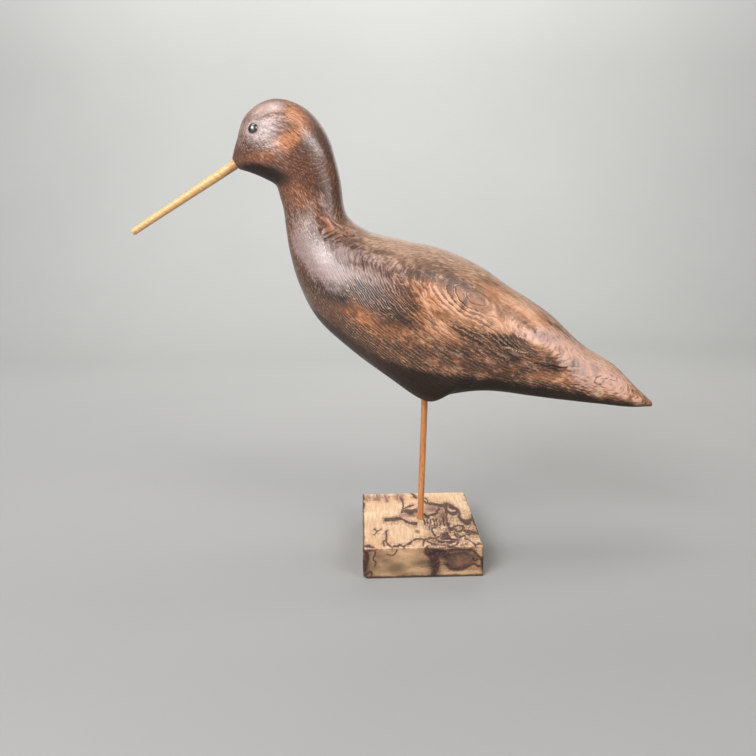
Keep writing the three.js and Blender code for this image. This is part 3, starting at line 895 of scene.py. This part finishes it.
# %% [markdown]
# ## Dowels
# The bill and the leg are both dowels. The bill was whittled to a taper and its tip rounded over,
# the leg is a plain rod. One tree makes both: a tube whose rings are set along the line from start
# to end, with a radius that tapers and closes over the last millimetres. A little noise keeps the
# whittled one from being too true.

# %% A tree for dowels
dowel_tree, given = new_shape_tree("dowel", {
    "Start": (0.0, 0.0, 0.0), "End": (0.0, 0.0, 1.0), "Start radius": 4.4, "End radius": 3.0,
    "Rounding": 1.6, "Unevenness": 0.1, "Sides": 40, "Rings": 160, "Seed": 3.0,
})
n = dowel_tree
tube, tube_place = unit_tube(n, given["Sides"], given["Rings"])
run = given["End"] - given["Start"]
whole, axis = n.length(run), n.unit(run)
side = n.unit(n.vector_maths("CROSS_PRODUCT", (0.0, 1.0, 0.0), axis))
other = n.vector_maths("CROSS_PRODUCT", axis, side)
share = 1.0 - (0.5 - n.part(tube_place, "Z")) ** 1.5
centre = given["Start"] + axis * (share * whole)
rounding = given["Rounding"] * MM
into = n.most(share * whole - whole + rounding, 0.0)
closing = n.maths("SQRT", n.most(rounding * rounding - into * into, 0.0))
radius = n.mix(share, given["Start radius"], given["End radius"]) * MM - rounding + closing
wander = n.cloud(centre + n.join(given["Seed"], 0.0, 0.0), 14, 1)
radius = radius * (1.0 + (wander - 0.5) * given["Unevenness"])
ring_side = side * n.part(tube_place, "X") + other * n.part(tube_place, "Y")
end_shape_tree(n, moved(n, tube, Position=centre + ring_side * radius), given)

# %% [markdown]
# The bill is bare pale wood, straw yellow, a little greyer where fingers have held it near the tip
# and browner where it meets the stained head. The leg is redder and lightly varnished, with the
# short dark flecks of a coarse-pored wood. Both show fibres along their length.

# %% Finishes of the dowels
LEG_FOOT, LEG_SLOPE = Vector((2.4, 0, 31)) * MM, 1.8

bare_dowel, n, shader = new_material("bare_dowel")
local = n.measured(object_place(n), tuple(bill_root), BILL_SLOPE)
fibre = n.cloud(local * (0.05, 1.0, 1.0), 1.0, 3)
patch = n.cloud(local * (0.4, 1.0, 1.0), 12, 3)
from_root = n.part(local, "X") / -MM
colour = between(n, n.fade(fibre, 0.35, 0.7), (214, 172, 118), (184, 140, 86))
colour = layered(n, colour, [
    (n.fade(patch, 0.5, 0.75) * 0.35, (206, 168, 112)),
    (n.fade(from_root, 7, 0) * 0.5, (150, 98, 56)),
    (n.fade(from_root, 112, 116) * 0.4, (150, 118, 78)),
])
rough = 0.45 + (patch - 0.5) * 0.3
feed(n, shader, fibre * 0.06 + patch * 0.1, Base_Color=colour, Roughness=rough)

varnished_dowel, n, shader = new_material("varnished_dowel")
local = n.measured(object_place(n), tuple(LEG_FOOT), LEG_SLOPE - 90)
fibre = n.cloud(local * (0.04, 1.0, 1.0), 0.9, 3)
fleck = n.cloud(local * (0.14, 1.0, 1.0), 0.7, 1)
patch = n.cloud(local * (0.25, 1.0, 1.0), 14, 3)
colour = between(n, n.fade(fibre, 0.35, 0.7), (196, 130, 78), (166, 103, 60))
colour = layered(n, colour, [
    (n.fade(patch, 0.45, 0.75) * 0.4, (180, 120, 78)),
    (n.fade(fleck, 0.62, 0.72) * 0.7, (88, 50, 30)),
])
rough = 0.38 + (patch - 0.5) * 0.3
feed(n, shader, fibre * 0.05 - fleck * 0.05, Base_Color=colour, Roughness=rough)
print("dowel finishes:", bare_dowel.name, varnished_dowel.name)

# %% Turn the bill and the leg
def turned_dowel(name, root, direction, sunk, shown, values):
    """A dowel that goes into its hole behind its root and stands out before it, in mm."""
    ends = {"Start": root - direction * sunk * MM, "End": root + direction * shown * MM}
    values = {**values, **{label: tuple(end) for label, end in ends.items()}}
    return grown(guide_mesh(name + "_guide", [(0, 0, 0)], []), dowel_tree, name, values)


bill = turned_dowel("whittled_bill", bill_root, bill_direction, 17.9, 115.4, {
    "Start radius": 4.55, "Unevenness": 0.05, "Material": bare_dowel,
})
tilt = math.radians(LEG_SLOPE)
leg_direction = Vector((math.sin(tilt), 0, math.cos(tilt)))
leg = turned_dowel("dowel_leg", LEG_FOOT, leg_direction, 19.8, 156.8, {
    "Start radius": 3.175, "End radius": 3.175, "Rounding": 0.6, "Unevenness": 0.02,
    "Material": varnished_dowel,
})

# %% [markdown]
# ## The eyes
# Each eye is a domed bead with a flat back, nearly black and glossy, so what shows is mostly the
# light it mirrors. It is small and plain, a shape turned on its own axis, so its profile is spun
# in a few lines of mesh code. Fine dust and rubs break the gloss a little.

# %% Turn and set the eyes
glossy_bead, n, shader = new_material("glossy_bead")
dust = n.cloud(object_place(n), 1.6, 4, 0.7)
colour = between(n, n.fade(dust, 0.45, 0.8), (34, 27, 24), (66, 55, 50))
rough = 0.36 + n.fade(dust, 0.4, 0.9) * 0.2
feed(n, shader, dust * 0.03, 0.4, Base_Color=colour, Roughness=rough,
     Coat_Weight=1.0, Coat_Roughness=0.24, Coat_IOR=1.8)

EYE_RADIUS, EYE_BULGE, EYE_BACK, EYE_SUNK = 4.68, 2.58, 2.35, 0.4
EYE_CHAMFER, EYE_RIM, EYE_SIDES, DOME_ROWS = 0.4, 0.25, 48, 14


def eye_profile():
    """Radius and height of the bead in millimetres, from the rim of its back to near its top."""
    sphere = (EYE_RADIUS**2 + EYE_BULGE**2) / (2 * EYE_BULGE)
    sweep_angle = math.asin(EYE_RADIUS / sphere)
    rows = [(EYE_RADIUS - EYE_CHAMFER, -EYE_BACK), (EYE_RADIUS, EYE_CHAMFER - EYE_BACK)]
    rows.append((EYE_RADIUS, -EYE_RIM))
    for step in range(DOME_ROWS):
        angle = sweep_angle * (0.97 - step / (DOME_ROWS + 0.5))
        rows.append((sphere * math.sin(angle), EYE_BULGE - sphere * (1 - math.cos(angle))))
    return rows


def make_eye(name, side):
    """A closed bead, turned about Z from its profile and set into one side of the head."""
    outwards = Vector((EYE_FACING.x, EYE_FACING.y * side, EYE_FACING.z))
    point = Vector((EYE_POINT.x, EYE_POINT.y * side, EYE_POINT.z)) - outwards * EYE_SUNK * MM
    setting = Matrix.Translation(point) @ outwards.to_track_quat("Z", "Y").to_matrix().to_4x4()
    rows = eye_profile()
    angles = [2 * math.pi * k / EYE_SIDES for k in range(EYE_SIDES)]
    points = [(0.0, 0.0, -EYE_BACK), (0.0, 0.0, EYE_BULGE)]
    points += [(r * math.cos(a), r * math.sin(a), height) for r, height in rows for a in angles]
    faces = []
    for k in range(EYE_SIDES):
        here, there = ([2 + row * EYE_SIDES + column for row in range(len(rows))]
                       for column in (k, (k + 1) % EYE_SIDES))
        faces += [(0, there[0], here[0]), (here[-1], there[-1], 1)]
        faces += zip(here, there, there[1:], here[1:])
    mesh = bpy.data.meshes.new(name)
    mesh.from_pydata([tuple(setting @ (Vector(p) * MM)) for p in points], [], faces)
    mesh.shade_smooth()
    mesh.materials.append(glossy_bead)
    return put(name, mesh)


left_eye, right_eye = make_eye("left_bead", 1), make_eye("right_bead", -1)
print("faces in an eye:", len(left_eye.data.polygons))

# %% [markdown]
# ## The block
# The block is an offcut of spalted wood: a fungus has bleached parts of it to cream and drawn thin
# dark lines where it met its neighbours. The lines can't be left to chance, because they are what
# the eye remembers of the block. So the main ones are laid down as strokes on its top and front, a
# tree measures how far each vertex is from them, and the finish reads that distance.

# %% Strokes of the spalting
BLOCK_SIZE = (114.3 * MM, 127.0 * MM, 31.0 * MM)
TOP_LEVEL, FRONT_LEVEL, SPREAD = 31.0, -63.5, 2.2
TOP_STROKES = [
    [(-33, -2, 2.6), (-27, -2, 2.8), (-20, -1, 2.2), (-17, -1, 1.5), (-14, -4, 1.3),
     (-10, -10, 1.4), (-6, -12, 1.8), (-3, -13, 1.6)],
    [(-16, 15, 1.4), (-12, 19, 2.2), (-8, 15, 3.2), (-2, 18, 2.8), (1, 18, 2.2)],
    [(-2, 62, 1.4), (0, 56, 1.6), (2, 50, 1.6)], [(-15, 48, 0.6), (-13, 36, 0.7), (-14, 19, 0.8)],
    [(-13, 23, 0.7), (-8, 28, 0.6), (-2, 30, 0.6)],
    [(11, 40, 1.8), (14, 35, 2.6), (18, 34, 1.6), (24, 30, 1.8), (29, 29, 2), (33, 31, 2.6),
     (36, 28, 3), (40, 22, 3.2), (43, 16, 2.6), (44, 7, 2), (43, -2, 2), (45, -9, 2.6),
     (48, -13, 3.2), (53, -8, 3.2), (58, -1, 2.6)],
    [(33, 31, 2), (31, 20, 2.2), (34, 11, 2.4), (39, 9, 2), (43, 12, 2)],
    [(12, 49, 0.8), (14, 43, 0.8), (14, 35, 1)],
    [(24, 21, 1), (21, 14, 1.5), (17, 7, 1.8), (13, 5, 1.2), (10, 1, 2), (8, 8, 1.6)],
    [(30, 17, 1.2), (31, 8, 1), (29, -1, 1.1), (29, -10, 1.1), (27, -20, 1)],
    [(30, -12, 1.2), (29, -20, 1.6), (31, -26, 2), (35, -21, 1.2), (39, -18, 1.2), (43, -20, 1.4),
     (44, -26, 1.6), (45, -33, 1.6), (49, -32, 1.6), (52, -35, 1.8), (56, -36, 1.4)],
    [(34, -24, 0.8), (36, -31, 1), (41, -31, 1), (43, -26, 1)], [(6, -5, 1.2), (6, -14, 1.2)],
    [(9, -4, 1), (9, -16, 1)], [(13, -4, 1), (10, -26, 1)], [(16, -3, 1), (15, -23, 0.9)],
    [(19, -4, 1), (18, -17, 0.9)], [(22, -6, 1), (21, -18, 0.8)], [(26, -1, 1.4), (25, -17, 0.8)],
    [(-45, -23, 0.8), (-43, -27, 0.9), (-46, -34, 0.8)], [(-43, -27, 0.6), (-39, -24, 0.6)],
    [(-33, -26, 1), (-34, -36, 1.2), (-35, -44, 0.9), (-37, -50, 0.7), (-37, -59, 0.7)],
    [(-35, -44, 0.9), (-33, -54, 0.9), (-29, -59, 1), (-26, -57, 1), (-24, -59, 0.9), (-21, -57, 1),
     (-18, -61, 1.1), (-15, -57, 1.1), (-11, -52, 1), (-7, -47, 0.9), (-2, -45, 1), (2, -45, 1),
     (6, -44, 1), (11, -44, 0.9), (15, -43, 1), (19, -40, 1)], [(2, -47, 1), (0, -59, 1)],
    [(18, -44, 1.6), (22, -39, 2), (25, -36, 2), (26, -42, 2), (28, -47, 1.8), (31, -49, 1.4),
     (34, -47, 1.2)], [(20, -46, 2.4), (25, -46, 2.4)],
    [(14, -46, 0.9), (17, -52, 0.9), (22, -53, 1), (27, -53, 1), (31, -50, 1)],
    [(2, -48, 0.8), (6, -52, 0.8), (10, -55, 0.8), (16, -58, 0.8), (22, -60, 0.8), (26, -62, 0.8),
     (31, -60, 0.9), (34, -56, 0.8), (34, -50, 0.8)],
    [(33, -32, 0.9), (34, -39, 0.8), (36, -45, 0.9), (42, -41, 0.8), (43, -46, 0.8), (45, -50, 0.9),
     (48, -55, 0.8), (50, -58, 0.8), (56, -57, 0.8)],
    [(44, -38, 0.8), (47, -38, 0.8), (52, -33, 1)], [(50, -58, 0.8), (50, -64, 0.8)],
    [(13, -23, 0.8), (11, -33, 0.8), (14, -40, 0.8)], [(58, 58, 1.6), (58, 45, 1.6), (58, 33, 1.6)],
    [(57, 3, 2), (56, -15, 1.4), (57, -25, 1.2), (57, -35, 1)], [(-56, 38, 1.4), (-56, 29, 1)],
    [(-56, -58, 0.9), (-51, -57, 0.8), (-47, -60, 0.8)],
]
FRONT_STROKES = [
    [(-57, 30, 1.4), (-55, 28, 1.4), (-53, 29, 1.6), (-50, 30, 1.2), (-46, 29, 1), (-45, 26, 1),
     (-47, 21, 1), (-45, 18, 0.9), (-46, 14, 0.8)],
    [(-54, 28, 2.2), (-53, 22, 2.2), (-54, 15, 2), (-56, 9, 2.4)], [(-57, 18, 2), (-57, 10, 2.4)],
    [(-25, 30, 0.8), (-26, 26, 0.9), (-29, 24, 0.8), (-33, 25, 0.6)],
    [(-55, 4, 1), (-50, 7, 1.2), (-49, 4, 1.2)],
    [(3, 30, 2.6), (4, 26, 3.4), (7, 22, 3), (9, 18, 3)],
    [(4, 28, 3), (9, 28, 3.2), (14, 25, 5), (19, 25, 5), (23, 26, 3.6)],
    [(12, 22, 4.5), (12, 13, 3.6), (10, 3, 3)],
    [(21, 14, 2), (26, 10, 2.6), (32, 8, 2.8), (38, 9, 2.4), (42, 11, 1.8), (47, 13, 1.4),
     (52, 11, 1.4), (56, 12, 1.6)],
    [(45, 29, 1.4), (50, 24, 1.6), (53, 20, 1.8), (56, 17, 2.2), (57, 9, 1.8)],
    [(24, 28, 2.4), (30, 29, 2), (37, 28, 2), (44, 28, 2)],
    [(47, 19, 0.9), (49, 16, 0.9), (52, 18, 0.9)],
]


def spalt_guide():
    """All the strokes as chains of points, with the width of the line at each in millimetres."""
    points, edges, widths = [], [], []
    lines = [[(x, y, TOP_LEVEL, width) for x, y, width in line] for line in TOP_STROKES]
    lines += [[(x, FRONT_LEVEL, z, width) for x, z, width in line] for line in FRONT_STROKES]
    for line in lines:
        for step, (x, y, z, width) in enumerate(line):
            if step:
                edges.append((len(points) - 1, len(points)))
            points.append(Vector((x, y / SPREAD, z)) * MM)
            widths.append((width, 0, 0))
    return guide_mesh("spalt_guide", points, edges, width=widths)


print("strokes:", len(TOP_STROKES) + len(FRONT_STROKES))

# %% The block's tree
block_tree, given = new_shape_tree("sawn_block", {
    "Size": BLOCK_SIZE, "Arris": 1.2, "Chip": 5.0, "Sawing depth": 0.12, "Wander": 0.9,
    "Spread": SPREAD, "Columns": 170, "Rows": 170, "Layers": 36, "Seed": 11.0,
})
n = block_tree
STROKE_STEPS, STROKE_SPACING = 6, 0.6 * MM
inputs = {0: smooth_curve(n, given["Geometry"], STROKE_STEPS), "Length": STROKE_SPACING}
line_points = n.node("GeometryNodeCurveToPoints", {"mode": "LENGTH"}, inputs)
cube = n.node("GeometryNodeMeshCube", None, {
    "Size": given["Size"], "Vertices X": given["Columns"], "Vertices Y": given["Rows"],
    "Vertices Z": given["Layers"],
})
half, middle = given["Size"] * 0.5, given["Size"] * (0.0, 0.0, 0.5)
place = n.node("GeometryNodeInputPosition") + middle
offset = n.join(given["Seed"], 0.0, 0.0)
worn = given["Arris"] * MM * (0.55 + 0.9 * n.cloud(place + offset, 9, 3))
limit = half - n.join(worn, worn, worn)
inner = n.vector_maths("MAXIMUM", place - middle, limit * -1.0)
inner = n.vector_maths("MINIMUM", inner, limit) + middle
rounded = inner + n.unit(place - inner) * worn
outwards = tuple(Vector((-1, -1, -1)).normalized())
beyond = n.dot(rounded - half * (-1.0, -1.0, 0.0), outwards) + given["Chip"] * (MM / math.sqrt(3))
beyond = beyond + (n.cloud(place + offset, 4, 2) - 0.5) * 0.8 * MM
block = moved(n, cube, Position=rounded - n.most(beyond, 0.0) * outwards)
print("nodes for the block's form:", len(n.tree.nodes))

# %% [markdown]
# The saw and the sander leave the faces nearly flat, so the relief is only a tenth of a millimetre.
# The place that looks up its nearest stroke is pushed about by noise first, which makes the smooth
# strokes as ragged as real zone lines. Distances from front to back are squashed for the look-up,
# so a line that runs from side to side is wider, as it is on the block, which is seen at a slant.

# %% Relief and zone lines
place, facing = n.node("GeometryNodeInputPosition"), n.node("GeometryNodeInputNormal")
saw = n.cloud(place * (1.0, 1.0, 0.15) + offset, 2.4, 2) - 0.5
swell = n.cloud(place + offset, 30, 1) - 0.5
standing = n.fade(n.part(facing, "Z"), -0.9, -0.5)
relief = (saw + swell * 2.0) * given["Sawing depth"] * MM * standing
block = moved(n, block, Offset=facing * relief)
noise = {"Vector": place + offset, "Scale": 140.0, "Detail": 2.0}
push = n.node("ShaderNodeTexNoise", None, noise, 1) - (0.5, 0.5, 0.5)
looked = place * n.join(1.0, 1.0 / given["Spread"], 1.0) + push * given["Wander"] * (4 * MM)
near = {"Target": line_points, "Source Position": looked}
far = n.node("GeometryNodeProximity", {"target_element": "POINTS"}, near, 1)
nearest = n.node("GeometryNodeSampleNearest", {"domain": "POINT"}, {0: line_points, 1: looked})
line_width = n.part(sampled(n, line_points, "width", nearest), "X")
line = n.fade(far / n.most(line_width * 1.2, 1.2), 1.05 * MM, 0.45 * MM)
beside = n.fade(far - line_width * MM, 5 * MM, 0.0)
for name, value in (("zone_line", line), ("beside_line", beside)):
    inputs = {"Geometry": block, "Name": name, "Value": value}
    settings = {"data_type": "FLOAT", "domain": "POINT"}
    block = n.node("GeometryNodeStoreNamedAttribute", settings, inputs)
end_shape_tree(n, block, given)

# %% [markdown]
# The colours follow the rot: plain cream at the top left, pinkish brown where it is mottled, warm
# tan on the front with dark brown clouds at the right. The grain runs from front to back on the top
# and shows as faint stripes. The leg's hole has a thin dark rim, and the arrises are grey from
# handling. A dark band along the bottom of the front is painted shadow where the block sits on the
# floor, partly a dark arris.

# %% Noise and spots of the spalting
spalting, n, shader = new_material("spalting")
place = object_place(n)
facing = n.node("ShaderNodeTexCoord", None, None, "Normal")
front = n.fade(n.part(facing, "Y"), -0.4, -0.8)
upper = n.fade(n.part(facing, "Z"), 0.4, 0.8)
side_faces = 1.0 - n.most(upper, front)
x, y, z = (n.part(place, axis) for axis in "XYZ")
flat, upright = n.join(x, 0.0, y), n.join(x, 0.0, z)
x, y, z = x / MM, y / MM, z / MM
stripe = n.cloud(place * (1.0, 0.12, 0.5), 2.2, 3)
mottle = n.cloud(place, 8, 4, 0.6)
grit = n.cloud(place * (1.0, 0.5, 1.0), 2.4, 3, 0.7)
cloudy = n.cloud(place, 30, 3)
smear = n.cloud(place * (0.4, 1.0, 1.0), 5, 4, 0.65)
torn, smeared = (mottle - 0.5) * 2.0, (smear - 0.5) * 2.2


def spots(face, ragged, rows):
    """Ragged spots on a face. A row holds centre, reach, raggedness, softness and strength."""
    masks = [
        oval(n, face, (across, level), (wide, high), 0.0, ragged * share, soft) * strength
        for across, level, wide, high, share, soft, strength in rows
    ]
    return n.most(*masks)


TUFTS = [(-52, 6), (-41, 7), (-31, 5), (-17, 7)]
tufts = spots(flat, torn, [(across, 52, wide, 13, 1, 0.6, 1) for across, wide in TUFTS]) * upper
knot = spots(flat, torn, [(-3, -30, 2.8, 5, 0.3, 0.6, 1)]) * upper
greyed = spots(flat, torn, [
    (-9, 7, 12, 5, 1, 0.6, 1), (18, 22, 13, 9, 1, 0.6, 1), (25, 4, 8, 10, 1, 0.6, 1),
]) * upper
crowded = spots(flat, torn, [
    (18, -12, 15, 16, 1, 0.6, 1), (38, -32, 24, 16, 1, 0.6, 1),
    (28, -52, 32, 14, 1, 0.6, 1), (30, 8, 16, 22, 1, 0.6, 0.7),
]) * upper
dark = spots(upright, smeared, [
    (13, 26, 12, 5, 0.5, 0.4, 1), (11, 13, 7, 14, 1, 0.8, 0.85),
    (34, 19, 19, 11, 0.7, 0.5, 1), (-54, 14, 4.5, 17, 1.2, 0.9, 0.6),
]) * front
inner_brown = spots(upright, smeared, [(37, 17, 13, 7, 1, 0.8, 1)]) * front
olive = spots(upright, smeared, [
    (-34, 18, 8, 5, 1, 0.9, 0.8), (-26, 11, 11, 7, 1, 0.9, 1), (1, 16, 14, 5, 1, 0.9, 1),
    (-44, 24, 12, 5, 1, 0.9, 0.7), (-48, 12, 9, 12, 1, 0.9, 0.6), (-12, 3, 30, 4, 1, 0.9, 0.5),
]) * front
pale = spots(upright, torn, [
    (37, 3, 21, 4, 0.4, 0.6, 1), (55, 26, 5, 6, 0.3, 0.6, 1), (-17, 24, 15, 8, 0.5, 0.6, 0.5),
]) * front
print("nodes for the spots:", len(n.tree.nodes))

# %% Lines and edges of the spalting
line, beside = (
    n.node("ShaderNodeAttribute", {"attribute_name": name}, None, "Fac")
    for name in ("zone_line", "beside_line")
)
drawn = line * (0.5 + n.fade(beside + (grit - 0.5) * 1.6, 0.55, 0.95) * 0.5)
level = n.cloud(place + (0.5, 0.0, 0.0), 11, 2, 0.5)
stray = n.most(n.fade(abs(level - 0.56), 0.018, 0.006), n.fade(abs(level - 0.46), 0.016, 0.006))
stray = stray * n.fade(x + torn * 20, 2, 16) * (1.0 - side_faces * 0.6)
stray = stray * (1.0 - n.fade(z, 26, 20) * front) * (1.0 - n.fade(y, 14, 22) * upper)
from_leg = n.length((place - tuple(LEG_FOOT)) * (1.0, 1.0, 0.0))
rim = n.fade(from_leg, 4.2 * MM, 3.4 * MM) * upper
flatness = n.most(*(abs(n.part(facing, axis)) for axis in "XYZ"))
ragged_x, ragged_z = x + torn * 2, z + torn * 2
edge = n.most(
    n.fade(flatness, 0.97, 0.8) * n.fade(mottle, 0.35, 0.6),
    # painted shadow along the bottom of the front, where the block meets the floor, with a dark
    # arris
    n.fade(ragged_z, 3.6, 1.8) * front,
    n.fade(ragged_x, -54.6, -56.2) * upper,
    n.fade(ragged_x, -50, -56) * front * 0.7,
    n.fade(ragged_x, 54, 56.4) * front * 0.7,
)
print("nodes with the lines:", len(n.tree.nodes))

# %% Colours of the spalting
mottled = n.fade(mottle, 0.35, 0.65)
colour = layered(n, between(n, n.fade(stripe, 0.35, 0.65), (206, 170, 134), (224, 192, 158)), [
    (n.fade(cloudy, 0.45, 0.7) * 0.5, (190, 146, 108)),
    (front, between(n, n.fade(smear, 0.35, 0.62), (190, 154, 118), (146, 114, 84))),
    (side_faces * n.fade(cloudy, 0.4, 0.6) * 0.7, (140, 106, 80)),
    (greyed * 0.85, between(n, mottled, (164, 124, 110), (104, 76, 72))),
    (beside * n.fade(grit + (mottle - 0.5) * 0.6, 0.42, 0.6) * 0.7, (144, 98, 72)),
    (crowded * n.fade(stripe, 0.45, 0.62) * 0.7, (128, 80, 58)),
    (crowded * n.fade(mottle, 0.46, 0.38) * 0.6, (232, 200, 168)),
    (crowded * n.fade(mottle + (grit - 0.5) * 0.7, 0.5, 0.6) * 0.8, (98, 64, 60)),
    (crowded * n.fade(grit, 0.56, 0.66) * 0.6, (120, 78, 62)),
    (tufts * n.fade(stripe, 0.3, 0.56) * 0.85, (120, 74, 62)),
    (olive * 0.72, (72, 56, 42)),
    (dark * 0.94, between(n, n.fade(smear, 0.4, 0.6), (32, 24, 25), (66, 47, 46))),
    (inner_brown * 0.8, between(n, mottled, (88, 64, 54), (134, 96, 72))),
    (pale * 0.8, (190, 156, 118)),
    (n.most(drawn, stray * 0.6) * 0.92,
     between(n, n.fade(grit, 0.42, 0.66), (42, 28, 31), (94, 61, 52))),
    (knot * 0.75, (98, 58, 40)),
    (edge * 0.85, (46, 35, 32)),
    (rim * 0.8, (70, 42, 28)),
])
height = stripe * 0.08 + mottle * 0.1 - line * 0.06
rough = 0.72 + (mottle - 0.5) * 0.3
feed(n, shader, height, Base_Color=colour, Roughness=rough, Specular_IOR_Level=0.35)
print("nodes in the spalting:", len(n.tree.nodes))

# %% Saw the block
base = grown(spalt_guide(), block_tree, "spalted_block", {"Material": spalting})

# %% [markdown]
# ## Everything in its place
# The real object is glued up, so nothing moves and every piece rides on the one body. Each dressed
# piece stands for its solid in the model, which is hidden; the slot of its finish is listed beside
# it but not read. How much the dressed object's bounds differ from the model's, in mm, is printed.

# %% Ride and replace
for piece, node, slot in (
    (bird, "bird", "stained_wood"),
    (bill, "bill", "bill_wood"),
    (left_eye, "left_eye", "eye_bead"),
    (right_eye, "right_eye", "eye_bead"),
    (leg, "leg", "leg_wood"),
    (base, "base_block", "spalted_wood"),
):
    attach(piece, "root")
    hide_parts(node)

visual_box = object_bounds()
growth = [[round(1000 * (v - c), 2) for v, c in zip(*pair)] for pair in zip(visual_box, cad_box)]
print("visual box less model box, in mm:", growth)
